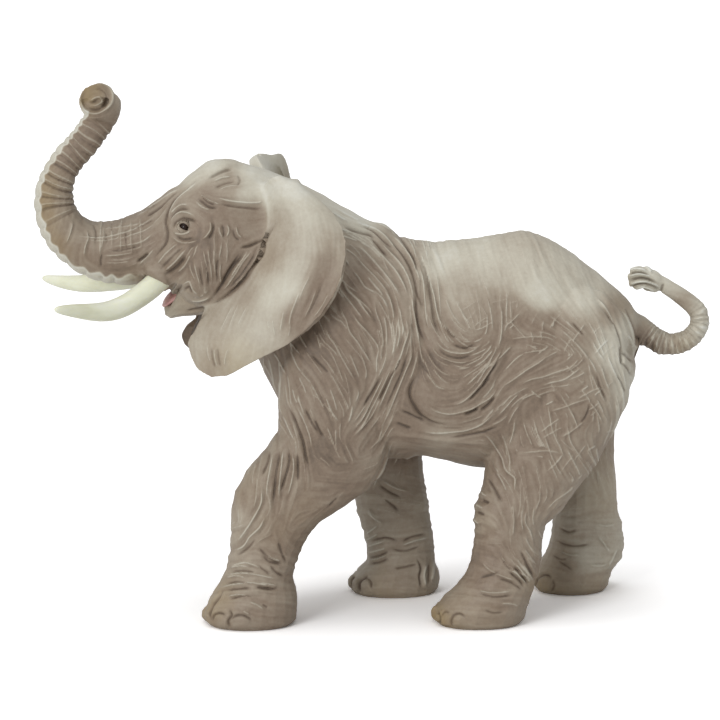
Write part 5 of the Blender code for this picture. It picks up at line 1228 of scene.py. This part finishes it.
def spread_marks(sheet):
    """Each mark's values blended over its sheet, nearer marks counting for more."""
    table = np.array(MARKS[sheet], float)
    table[:, 2:] /= 100
    away, shape = coarse_distances(sheet, MARK_STEP, table[:, :2])
    weight = 1 / (away + 30) ** 2
    weight /= weight.sum(1)[:, None]
    coarse = [(weight @ values).reshape(shape) for values in table.T[2:]]
    return [blur(from_coarse(field, sheet, MARK_STEP), MARK_BLUR) for field in coarse]


# %% [markdown]
# ## Ribs of the trunk and rings of the tail
# The raised trunk is built of ribs that bulge between narrow creases, and its underside is a pale
# scalloped band along the outer edge. Both follow the trunk's middle line, so they are drawn by
# the distance along that line and across it. The tail gets its rings in the same way.

# %% Distances along and across a path
TRUNK_LINE = (
    (101, 112), (96, 122), (89, 134), (81, 146), (73, 157), (65, 169), (59, 180), (56, 191),
    (56, 202), (59, 213), (65, 224), (74, 234), (86, 243), (100, 248), (118, 250), (136, 248),
)
TRUNK_WIDTHS = (
    (0, 13.0), (30, 15.0), (60, 16.5), (90, 18.5), (120, 22.0), (150, 27.0), (190, 30.0),
)
TAIL_LINE = (
    (634, 322), (644, 331), (655, 339), (668, 343), (682, 342), (693, 336), (700, 326),
    (700, 314), (693, 304), (681, 296), (668, 289), (656, 284),
)


def along_path(sheet, corners, reach):
    """How far along a path each cell lies, how far to its side, and whether it is within reach."""
    xx, yy = sheet_grid(sheet)
    line = smooth_line(corners)
    heading = np.gradient(line, axis=0)
    heading /= np.linalg.norm(heading, axis=1)[:, None]
    travelled = np.concatenate([[0], np.cumsum(np.linalg.norm(np.diff(line, axis=0), axis=1))])
    nearest = np.full(xx.shape, 1e9)
    place, side = np.zeros(xx.shape), np.zeros(xx.shape)
    for (x, y), (dx, dy), s in zip(line, heading, travelled):
        ox, oy = xx - x, yy - y
        away = ox * ox + oy * oy
        closer = away < nearest
        nearest[closer] = away[closer]
        place[closer] = (s + ox * dx + oy * dy)[closer]
        side[closer] = (oy * dx - ox * dy)[closer]
    return place, side, nearest < reach * reach


def trunk_ribs():
    place, side, near = along_path("head", TRUNK_LINE, 42)
    stations, widths = np.array(TRUNK_WIDTHS).T
    across = side / np.interp(place, stations, widths)      # 1 at the outer edge, -1 at the inner
    pitches = ((0, 60, 120, 160), (8.5, 9.5, 10.5, 12.0))
    pitch = np.interp(place, *pitches)
    grid = np.linspace(-20, 220, 1200)
    turns = np.cumsum(np.gradient(grid) / np.interp(grid, *pitches))
    wander = 1.2 * np.sin(0.13 * place + 2.2 * across) + 0.8 * np.sin(0.31 * place)
    phase = np.interp(place + 1.5 * across + wander, grid, turns)
    bulge = np.abs(np.sin(math.pi * phase)) ** 0.55 - 0.65
    sides = step_up(-across, -0.5, 0.9) * 0.5 + 0.55
    calm = 0.55 + 0.45 * step_up(place, 45, 85)
    fade = step_up(place, 4, 14) * (1 - step_up(place, 108, 134)) * calm
    edge_fade = step_up(place, 0, 8) * (1 - step_up(place, 185, 215))
    border = 0.76 + 0.10 * step_up(place, 112, 140) + 0.055 * np.sin(2 * math.pi * phase)
    edge = step_up(across, border - 0.02, border + 0.12)
    relief = near * MM * (0.46 * bulge * sides * fade * (1 - edge) + 0.60 * bulge * edge * edge_fade)
    pale = near * edge_fade * step_up(across, border - 0.03, border + 0.05)
    from_crease = np.abs(phase - np.rint(phase)) * pitch
    crease = near * fade * (1 - pale) * np.exp(-((from_crease / LINE_SEEN) ** 2))
    second = np.abs(phase + 0.36 - np.rint(phase + 0.36)) * pitch
    thin_line = near * fade / calm * (1 - pale) * np.exp(-((second / LINE_SEEN) ** 2)) * 0.9
    rim = near * edge_fade * np.exp(-(((across - border - 0.02) / 0.05) ** 2))
    relief += MM * (0.16 * rim - 0.20 * crease + 0.12 * thin_line)
    return relief, pale, thin_line - crease * (0.75 + 0.25 * sides), rim


def tail_rings():
    """Thin raised rings round the lower bend of the tail; its upper part stays smooth."""
    place, side, near = along_path("body", TAIL_LINE, 17)
    phase = (place + 0.8 * np.sin(0.37 * place) + 0.7 * np.sin(0.3 * side + 0.9 * place)) / 4.9
    from_ring = np.abs(phase - np.rint(phase)) * 4.9
    from_crease = np.abs(phase + 0.3 - np.rint(phase + 0.3)) * 4.9
    fade = step_up(place, 8, 20) * (1 - step_up(place, 88, 114))
    ring = near * fade * np.exp(-((from_ring / 1.2) ** 2))
    crease = near * fade * np.exp(-((from_crease / 1.2) ** 2))
    return MM * (0.24 * ring - 0.14 * crease), ring - 0.9 * crease


rib_relief, rib_pale, rib_lines, rib_rim = trunk_ribs()
RINGED = {"head": (rib_relief, rib_lines), "body": tail_rings()}
print("rib height in mm:", round(float(np.ptp(rib_relief)) / MM, 2))

# %% [markdown]
# ## Carving
# All the drawings come together as one relief, which is laid over the skin and moves every point in
# or out. What rose and what sank is kept for the paint: a wash gathers in low places, and dry paint
# catches on high ones. Beside each raised line a painted shadow is laid as well, right of it and below
# it.

# %% Put the drawings together
STROKE_HEIGHT = 0.24           # in millimetres
BAND_PALENESS = 0.92
STROKE_LEAN = 0.13             # how far a stroke strays from the lay, in radians
STROKES = {"body": 1300, "head": 440, "ear": 110}
CROSS_TURN = math.radians(72)
CROSS_STROKES = {"body": 560, "head": 60, "ear": 1}
BROAD_STROKES = {"body": 800, "head": 230, "ear": 1}
BROAD_HEIGHT = 0.34            # in millimetres
SHEET_VALUES = ("relief", "tone", "paleness", "ochre", "lines_and_painted_shadow")
sheets = {value: {} for value in SHEET_VALUES}
for sheet in SHEET_FRAMES:
    lines_mm, folds_mm, fine_mm, cross_mm, paleness, ochre = spread_marks(sheet)
    folds, fine = streaks[sheet]
    drawn_relief, (raised, sunk) = drawn[sheet]
    room = 1 - np.clip(blur(raised + sunk, 1.5) * 1.6, 0, 1)
    seen = np.clip(lines_mm * 9, 0, 0.95) * (lines_mm > 0.025) * (0.45 + 0.55 * room)
    strokes = stroke_map(sheet, lays[sheet], STROKES[sheet], 0, (18, 60), seen)
    seen = np.clip(cross_mm * 9, 0, 0.95) * (cross_mm > 0.02)
    crossing = stroke_map(sheet, lays[sheet], CROSS_STROKES[sheet], CROSS_TURN, (10, 34), seen)
    strokes = np.maximum(strokes, crossing)
    seen = np.clip(folds_mm * 8 - 0.3, 0, 1) * room
    broad = stroke_map(sheet, lays[sheet], BROAD_STROKES[sheet], 0, (12, 40), seen, 2.2)
    fold = np.tanh(folds * 1.1)
    relief = folds_mm * fold * (0.4 + 0.6 * room) + fine_mm * fine * 0.7
    relief = MM * (relief + STROKE_HEIGHT * strokes + BROAD_HEIGHT * broad) + drawn_relief
    tone = 0.9 * folds_mm * fold + 1.8 * fine_mm * fine + 0.22 * broad
    if sheet == "head":
        paleness = paleness + (BAND_PALENESS - paleness) * rib_pale + 0.22 * rib_rim
        ochre = ochre * (1 - rib_pale)
    if sheet in RINGED:
        ring_relief, ring_lines = RINGED[sheet]
        relief += ring_relief
        raised = np.maximum(raised, np.clip(ring_lines, 0, 1))
        sunk = np.maximum(sunk, np.clip(-ring_lines, 0, 1))
    raised = np.maximum(raised, strokes)
    # Painted shadow: each raised line is copied a little right and down and laid as dark beside it, in
    # the same field as the real creases
    over, down = (round(shift / STEP) for shift in LINE_SHADE)
    shade = np.roll(raised, (down, over), axis=(0, 1)) * (1 - raised)
    lines_and_painted_shadow = np.where(raised > sunk, raised, 0)
    lines_and_painted_shadow = lines_and_painted_shadow - np.maximum(sunk * (sunk >= raised), 0.5 * shade)
    made = (blur(relief, 0.45), tone, paleness, ochre, lines_and_painted_shadow)
    for value, field in zip(SHEET_VALUES, made):
        sheets[value][sheet] = field

laid = {value: wrap(fields) for value, fields in sheets.items()}
relief, line_tone, paleness, ochre = (laid[value] for value in SHEET_VALUES[:4])

# %% Move the points
facing = outward(points, 3)
SOLE_CLEAR = 1.2 * MM
above_floor = step_up(points[:, 2], 0.2 * MM, SOLE_CLEAR)
shown = (1 - 0.85 * ear_back) * above_floor
relief = relief * shown * (1 - 0.8 * crack)
points = points + facing * relief[:, None]
points = points + 0.15 * (neighbour_mean(points) - points)
points[:, 2] = np.maximum(points[:, 2], 0)
hollow = smoothed(relief, 10) - relief

EYE_SHIFT = Vector((0.7, 0, -0.5)) * MM
LID_LOOK = 0.35                # how much of the forehead's slant the opening keeps
ROUND_EYE = 7 * MM             # the skin that the eye's way out is read from


def eye_axes(side):
    """The middle of the eye, and its ways to the right, up and out of the head."""
    low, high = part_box(side + "_eye")
    middle = np.array((low + high) / 2 + EYE_SHIFT)
    near = np.linalg.norm(points - middle, axis=1) < ROUND_EYE
    out = facing[near].mean(axis=0) * (LID_LOOK, 1, 1)
    out /= np.linalg.norm(out)
    right = np.cross((0, 0, 1), out)
    right *= np.sign(right[0]) / np.linalg.norm(right)
    up = np.cross(out, right)
    return middle, right, up * np.sign(up[2]), out


# The skin over each eye is pressed in, so that only the lids stand before the ball
EYE_ROOM = 2.0 * MM
EYE_DEPTH = 6 * MM
SKIN_LEFT = 0.1 * MM
for side in ("left", "right"):
    middle, right, up, out = eye_axes(side)
    away = points - middle
    lift = away @ out
    beside = np.linalg.norm(away - lift[:, None] * out, axis=1)
    covers = (beside < EYE_ROOM) & (np.abs(lift) < EYE_DEPTH) & (lift > SKIN_LEFT)
    points[covers] -= (lift[covers] - SKIN_LEFT)[:, None] * out
    print(side, "eye: skin pressed in at", int(covers.sum()), "points")
print("relief from", round(relief.min() / MM, 2), "to", round(relief.max() / MM, 2), "mm")

# %% [markdown]
# ## The painted vinyl
# The figure is painted in three passes: a mid grey-brown all over, a darker brown wash that is wiped
# off the high places, and a pale warm grey that is brushed on nearly dry and catches on raised
# lines and on the broad tops of the back, ears and head. The material blends these paints by the
# values that the carving left at every point, and breaks them up with fine grain. Light and shade are
# painted in as well: a painted shadow beside each raised line, painted shade on the far ear's lobe
# and on the rims of the eyelids, the far legs painted lighter against their shade, and upward faces
# painted a little paler as painted top light.

# %% Paints and the skin material
DARK_WASH_AND_SHADE = (0.105, 0.078, 0.057, 1)
BROWN = (0.225, 0.170, 0.124, 1)
MID_GREY = (0.350, 0.298, 0.232, 1)
PALE_GREY = (0.520, 0.490, 0.405, 1)
NEAR_WHITE = (0.640, 0.635, 0.570, 1)
OCHRE = (0.330, 0.235, 0.095, 1)


def ramp(tree, value, *stops):
    """A colour for each value, blended between the stops."""
    colour_out = add(tree, "ValToRGB", {0: value})
    elements = colour_out.node.color_ramp.elements
    while len(elements) < len(stops):
        elements.new(0.5)
    for element, (place, colour) in zip(elements, stops):
        element.position = place
        element.color = colour
    return colour_out


def sums(tree, operation, first, second):
    return add(tree, "Math", {0: first, 1: second}, operation=operation)


def noise(tree, place, scale, detail, roughness=0.6):
    values = {"Vector": place, "Scale": scale, "Detail": detail, "Roughness": roughness}
    return add(tree, "TexNoise", values, "Fac")


def centred(tree, value, strength):
    return sums(tree, "MULTIPLY", sums(tree, "SUBTRACT", value, 0.5), strength)


def weighted(tree, *pairs):
    """Adds up sockets, each times its own weight."""
    total = None
    for value, weight in pairs:
        share = sums(tree, "MULTIPLY", value, weight)
        total = share if total is None else sums(tree, "ADD", total, share)
    return total


def attribute(tree, name):
    """The three numbers that the carving left at every point under this name."""
    values = add(tree, "Attribute", {}, "Vector", attribute_name=name)
    return add(tree, "SeparateXYZ", {0: values}).node.outputs


def sharpened(tree, value, low, high):
    values = {"Value": value, "From Min": low, "From Max": high}
    return add(tree, "MapRange", values, "Result", interpolation_type="SMOOTHSTEP")


def mixed(tree, share, first, second):
    """The second colour painted over the first one by a share."""
    return add(tree, "Mix", {0: share, 6: first, 7: second}, 2, data_type="RGBA")


def bumped(tree, height, strength, distance):
    return add(tree, "Bump", {"Height": height, "Strength": strength, "Distance": distance})


def new_material(name):
    material = bpy.data.materials.new(name)
    material.use_nodes = True
    tree = material.node_tree
    return material, tree, add(tree, "TexCoord", {}, "Object")


def finish_shader(tree, **values):
    """Fills the main shader's inputs, whose names have spaces where these have low lines."""
    for name, value in values.items():
        feed(tree, tree.nodes["Principled BSDF"].inputs[name.replace("_", " ")], value)


HIGHLIGHT = 0.30               # how much a drawn line lightens the paint


def painted_skin(name):
    material, tree, place = new_material(name)
    tone, ochre_share, wash_and_shade = attribute(tree, "paint")
    lines_and_painted_shadow = attribute(tree, "carved_lines_and_shadow")[0]
    blotches = noise(tree, place, 130, 3)
    grain_fine = noise(tree, place, 900, 4, 0.7)
    grain_mid = noise(tree, place, 380, 3)
    # the drawn lines grow crisp here: pale where raised, dark where sunk and in the painted shadow beside
    # each raised line
    uneven = weighted(tree, (lines_and_painted_shadow, 1), (centred(tree, grain_fine, 1), 0.12))
    raised = sharpened(tree, uneven, 0.25, 0.80)
    sunk = sharpened(tree, sums(tree, "MULTIPLY", uneven, -1), 0.28, 1.0)
    lines = weighted(tree, (raised, 1.1), (sunk, -0.85))
    give = weighted(tree, (tone, -0.75), (1.15, 1))
    toned = weighted(
        tree, (tone, 1), (sums(tree, "MULTIPLY", lines, give), HIGHLIGHT),
        (centred(tree, blotches, 1), 0.16), (centred(tree, grain_fine, 1), 0.20),
        (centred(tree, grain_mid, 1), 0.14),
    )
    paint = ramp(
        tree, toned, (0.0, DARK_WASH_AND_SHADE), (0.22, BROWN), (0.48, MID_GREY), (0.78, PALE_GREY),
        (1.0, NEAR_WHITE),
    )
    rubbed = sums(tree, "MULTIPLY", ochre_share, sums(tree, "ADD", grain_mid, 0.15))
    # The third paint value darkens towards the darkest paint: the brown wash in hollows and creases, and
    # painted shade, which is the shadow beside raised lines and the rims of the eyelids
    paint = mixed(tree, wash_and_shade, mixed(tree, rubbed, paint, OCHRE), DARK_WASH_AND_SHADE)
    shine = ramp(tree, grain_mid, (0.3, (0.50, 0.50, 0.50, 1)), (0.7, (0.62, 0.62, 0.62, 1)))
    height = weighted(tree, (raised, 0.15), (sunk, -0.12), (grain_fine, 0.06), (grain_mid, 0.06))
    finish_shader(
        tree, Base_Color=paint, Roughness=shine, Specular_IOR_Level=0.35,
        Normal=bumped(tree, height, 1.0, MM),
    )
    return material


skin_paint = painted_skin("painted_vinyl_skin")

# %% Paint values at every point
# what the marks ask for, and the paint that answers it
TONE_CURVE = ((0, 0.14, 0.3, 0.5, 0.65, 0.8, 1), (0.05, 0.20, 0.26, 0.35, 0.53, 0.70, 0.88))
sky = outward(points, 6)[:, 2]
tone = np.interp(paleness, *TONE_CURVE)
# Painted shade: the far ear's lower lobe is painted dark
far_lobe = owned_by("right_ear") * step_up(own_view[:, 1], 286, 306)
# Painted light: the far legs are painted lighter, against the shade they stand in
tone = tone * (1 - 0.8 * smoothed(far_lobe, 6)) + 0.14 * far_leg
tone += HIGHLIGHT * np.clip(line_tone, -1.2, 1.2) * (1.15 - 0.75 * tone)
# Painted top light: skin that faces up is painted a little paler
tone += 0.05 * np.clip(sky, 0, 1)
tone = np.clip(tone, 0, 1)
wash_and_shade = np.clip(hollow / MM * 0.9 - 0.05, 0, 0.65) * (1 - np.clip(melt, 0, 1))
# Dark lines deepen the wash: the real wash in the creases, and the painted shadow beside each raised line
wash_and_shade += 0.30 * np.clip(-laid["lines_and_painted_shadow"], 0, 1) * shown
paint_values = {
    "paint": np.stack([tone, np.clip(ochre, 0, 1), wash_and_shade], axis=1),
    "carved_lines_and_shadow": np.outer(laid["lines_and_painted_shadow"] * shown, (1, 0, 0)),
}
print("mean tone:", round(float(tone.mean()), 2), "washed share:", round(float((wash_and_shade > 0.2).mean()), 3))

# %% [markdown]
# ## Parting the skin into its pieces
# The carved skin is parted along the joins of the moulding. Each piece is closed with faces
# inside the join, where the real one has its glued face. The pieces keep the smooth shading that
# the whole skin had, so no line shows where they meet.

# %% Part the skin
whole_normals = normals_of(points)
votes = [smoothed((owner == k).astype(float), 6) for k in range(len(SKIN_NODES))]
owner = np.stack(votes, axis=1).argmax(axis=1)
face_owner = np.sort(owner[quads], axis=1)[:, 1]


def groups_of(pairs):
    """Numbers the connected groups in a list of vertex pairs."""
    parent = {}

    def root(v):
        while parent.setdefault(v, v) != v:
            parent[v] = parent[parent[v]]
            v = parent[v]
        return v

    for a, b in pairs:
        parent[root(a)] = root(b)
    return {v: root(v) for v in list(parent)}


CAP_STEP = 3 * MM
CAP_PAINT = (0.2, 0.0, 0.0)


def part_skin(index, name):
    faces = quads[face_owner == index]
    used, faces = np.unique(faces, return_inverse=True)
    faces = faces.reshape(-1, 4)
    start = faces.ravel()
    end = np.roll(faces, -1, axis=1).ravel()
    code = np.minimum(start, end) * len(used) + np.maximum(start, end)
    _, first, seen = np.unique(code, return_index=True, return_counts=True)
    open_edges = first[seen == 1]
    border = [(int(start[i]), int(end[i])) for i in open_edges]
    places = points[used]
    group = groups_of(border)
    middles = {}
    for v, g in group.items():
        middles.setdefault(g, []).append(v)
    # each join gets a row of middle points along its length, so that a bent join is closed inside
    extra, middle_of = [], {}
    for members in middles.values():
        loop = places[members]
        spread = loop - loop.mean(axis=0)
        along = spread @ np.linalg.svd(spread, full_matrices=False)[2][0]
        bins = np.floor(along / CAP_STEP).astype(int)
        for k in np.unique(bins):
            middle_of.update({members[i]: len(used) + len(extra) for i in np.where(bins == k)[0]})
            extra.append(loop[bins == k].mean(axis=0))
    caps = []
    for a, b in border:
        caps.append((b, a, middle_of[a]))
        if middle_of[a] != middle_of[b]:
            caps.append((b, middle_of[a], middle_of[b]))
    mesh = bpy.data.meshes.new(name)
    all_places = np.vstack([places, np.array(extra).reshape(-1, 3)])
    mesh.from_pydata(all_places.tolist(), [], faces.tolist() + caps)
    shade = np.ones(len(mesh.polygons), bool)
    shade[len(faces):] = False
    mesh.polygons.foreach_set("use_smooth", shade)
    for layer_name, values in paint_values.items():
        values = np.vstack([values[used], np.tile(CAP_PAINT, (len(extra), 1))])
        layer = mesh.attributes.new(layer_name, "FLOAT_VECTOR", "POINT")
        layer.data.foreach_set("vector", values.astype(np.float32).ravel())
    mesh.update()
    corner_normals = np.zeros((len(mesh.loops), 3))
    corner_normals[: faces.size] = whole_normals[used][faces.ravel()]
    for polygon in mesh.polygons[len(faces):]:
        for loop in polygon.loop_indices:
            corner_normals[loop] = polygon.normal
    mesh.normals_split_custom_set(corner_normals.tolist())
    piece = bpy.data.objects.new(name, mesh)
    bpy.context.scene.collection.objects.link(piece)
    mesh.materials.append(skin_paint)
    return piece


for index, node in enumerate(SKIN_NODES):
    piece = part_skin(index, "skin_" + node)
    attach(piece, "root")
    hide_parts(node)
    print(piece.name, len(piece.data.polygons), "faces")


# %% [markdown]
# ## Tusks, eyes and tongue
# These are not skin. The tusks are moulded in a milky ivory vinyl with a satin face, warmer at the
# root. The eyes are two drops of black gloss paint. The tongue is pink.

# %% A finer copy of a moulded piece
def finer_copy(node, name, levels):
    piece = copy_of_node(node, name)
    for polygon in piece.data.polygons:
        polygon.use_smooth = True
    piece.data.materials.clear()
    finer = piece.modifiers.new("finer", "SUBSURF")
    finer.levels = levels
    finer.render_levels = levels
    bpy.ops.object.modifier_apply(modifier="finer")
    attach(piece, "root")
    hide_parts(node)
    return piece


# %% Ivory
def ivory_material(name):
    material, tree, place = new_material(name)
    stretched = add(tree, "Mapping", {"Vector": place, "Scale": (0.25, 1.0, 1.0)})
    stops = ((0.25, (0.62, 0.62, 0.45, 1)), (0.55, (0.74, 0.75, 0.59, 1)), (0.8, (0.79, 0.80, 0.70, 1)))
    finish_shader(
        tree, Base_Color=ramp(tree, noise(tree, stretched, 160, 3), *stops), Roughness=0.36,
        Subsurface_Weight=0.15, Subsurface_Radius=(0.002, 0.0018, 0.001),
    )
    return material


# The near tusk sags a little more than its solid and the far one less, as the photograph shows
TUSK_SAG = {"left": -1.9 * MM, "right": 1.5 * MM}
TUSK_MIDDLE = {"left": -80 * MM, "right": -82 * MM}
TUSK_SAG_REACH = 11.5 * MM
ivory = ivory_material("ivory_vinyl")
for side in ("left", "right"):
    tusk = finer_copy(side + "_tusk", "ivory_" + side + "_tusk", 2)
    for vertex in tusk.data.vertices:
        from_middle = (vertex.co.x - TUSK_MIDDLE[side]) / TUSK_SAG_REACH
        vertex.co.z += TUSK_SAG[side] * math.exp(-(from_middle**2))
    tusk.data.materials.append(ivory)


# %% Eyes
def gloss_material(name):
    material, tree, place = new_material(name)
    stops = ((0.3, (0.007, 0.004, 0.003, 1)), (0.8, (0.034, 0.018, 0.012, 1)))
    colour = ramp(tree, noise(tree, place, 500, 2), *stops)
    finish_shader(tree, Base_Color=colour, Roughness=0.22, Specular_IOR_Level=0.22)
    return material


eye_gloss = gloss_material("eye_gloss_black")
for side in ("left", "right"):
    eye = finer_copy(side + "_eye", "glossy_" + side + "_eye", 2)
    eye.data.transform(Matrix.Translation(EYE_SHIFT))
    eye.data.materials.append(eye_gloss)

# %% [markdown]
# The lids are modelled as a ring of skin over each ball, with an almond opening whose rear corner
# sits lower. They could be carved out of the skin too, but its mesh is too coarse for an opening of
# three millimetres. The ring hugs the ball at the opening and dips under the skin round it.

# %% Eyelids
EYE_RADIUS = 1.7 * MM
OPENING_HALF = 1.66 * MM
OPENING_UP = 0.95 * MM
OPENING_DOWN = 0.92 * MM
OPENING_TILT = math.radians(-27)
OPENING_SHIFT = (0.05 * MM, -0.15 * MM)
LID_OUTER = 2.4 * MM
LID_THICK = 0.26 * MM
# share of the way out from the opening, and how far the lid stands over the skin in millimetres
LID_RINGS = ((0.0, None), (0.14, None), (0.34, 0.30), (0.58, 0.16), (0.80, 0.04), (1.0, -0.35))
LID_POINTS = 56


def eyelids(side):
    middle, right, up, out = eye_axes(side)
    near = np.linalg.norm(points - middle, axis=1) < ROUND_EYE
    faces = quads[near[quads].all(axis=1)]
    used, faces = np.unique(faces, return_inverse=True)
    skin_tree = BVHTree.FromPolygons(points[used].tolist(), faces.reshape(-1, 4).tolist())

    def over_ball(u, v, gap):
        return math.sqrt(max((EYE_RADIUS + gap) ** 2 - u * u - v * v, 0))

    def over_skin(u, v):
        start = middle + right * u + up * v + out * 8 * MM
        hit = skin_tree.ray_cast(Vector(start), Vector(-out))
        return 8 * MM - hit[3] if hit[0] is not None else 0.0

    print(side, "eye in the picture:", to_picture(middle[None])[0].round(1))
    rings, tones = [], []
    for share, lift in LID_RINGS + ((0.12, "under"), (-0.02, "under")):
        ring = []
        for t in np.linspace(0, 2 * math.pi, LID_POINTS, endpoint=False):
            c, s = math.cos(t), math.sin(t)
            height = OPENING_UP if s > 0 else OPENING_DOWN
            u0, v0 = OPENING_HALF * c, height * math.copysign(abs(s) ** 1.15, s)
            tilt_c, tilt_s = math.cos(OPENING_TILT), math.sin(OPENING_TILT)
            u0, v0 = u0 * tilt_c - v0 * tilt_s, u0 * tilt_s + v0 * tilt_c
            u0, v0 = u0 + OPENING_SHIFT[0], v0 + OPENING_SHIFT[1]
            u = u0 + (LID_OUTER * math.cos(t + OPENING_TILT) - u0) * share
            v = v0 + (LID_OUTER * 0.9 * math.sin(t + OPENING_TILT) - v0) * share
            if lift == "under":
                height = over_ball(u, v, -0.35 * MM)
            elif lift is None:
                height = over_ball(u, v, LID_THICK)
            else:
                height = max(over_ball(u, v, LID_THICK), over_skin(u, v) + lift * MM)
                if lift < 0:
                    height = over_skin(u, v) + lift * MM
            ring.append(middle + right * u + up * v + out * height)
        rings.append(ring)
        # The rings tucked under the lid are painted darker, as painted shade where the lid meets the ball
        tones.append(0.22 if lift == "under" else 0.30 + 0.2 * min(share * 2, 1))
    places = np.array(rings).reshape(-1, 3)
    faces = []
    for i in range(len(rings)):
        here, there = i * LID_POINTS, (i + 1) % len(rings) * LID_POINTS
        for k in range(LID_POINTS):
            n = (k + 1) % LID_POINTS
            faces.append((here + k, here + n, there + n, there + k))
    mesh = bpy.data.meshes.new("lids_" + side + "_eye")
    mesh.from_pydata(places.tolist(), [], faces)
    work = bmesh.new()
    work.from_mesh(mesh)
    bmesh.ops.recalc_face_normals(work, faces=work.faces)
    work.to_mesh(mesh)
    work.free()
    mesh.polygons.foreach_set("use_smooth", [True] * len(mesh.polygons))
    # The rim of the opening and the rings under it take the darkest paint, as painted shade
    painted_shade_at = [0.5 if k in (0, 6, 7) else 0.0 for k in range(len(rings))]
    values = [(tones[k], 0.0, painted_shade_at[k]) for k in range(len(rings)) for _ in range(LID_POINTS)]
    layer = mesh.attributes.new("paint", "FLOAT_VECTOR", "POINT")
    layer.data.foreach_set("vector", np.array(values, np.float32).ravel())
    lids = bpy.data.objects.new("lids_" + side + "_eye", mesh)
    bpy.context.scene.collection.objects.link(lids)
    mesh.materials.append(skin_paint)
    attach(lids, "root")
    return lids


for side in ("left", "right"):
    print(eyelids(side).name, "points:", LID_POINTS * (len(LID_RINGS) + 2))


# %% Tongue
def tongue_material(name):
    material, tree, place = new_material(name)
    stops = ((0.3, (0.50, 0.24, 0.22, 1)), (0.7, (0.68, 0.40, 0.37, 1)))
    colour = ramp(tree, noise(tree, place, 700, 3), *stops)
    bump = bumped(tree, noise(tree, place, 1500, 2), 0.4, 0.1 * MM)
    finish_shader(tree, Base_Color=colour, Roughness=0.4, Normal=bump)
    return material


# In the photograph the tongue fills the mouth down to the tip of the lower lip
TONGUE_FULLER = (0.9, 1.5, 1.8)
TONGUE_SHIFT = Vector((1.7, 0, 0.5)) * MM
TONGUE_SLANT = 0.45
tongue = finer_copy("tongue", "pink_tongue", 2)
low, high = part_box("tongue")
middle = (low + high) / 2
tongue.data.transform(Matrix.Translation(-middle))
tongue.data.transform(Matrix.Diagonal((*TONGUE_FULLER, 1)))
for vertex in tongue.data.vertices:
    vertex.co.x += TONGUE_SLANT * vertex.co.z
tongue.data.transform(Matrix.Translation(middle + TONGUE_SHIFT))
tongue.data.materials.append(tongue_material("tongue_pink_vinyl"))
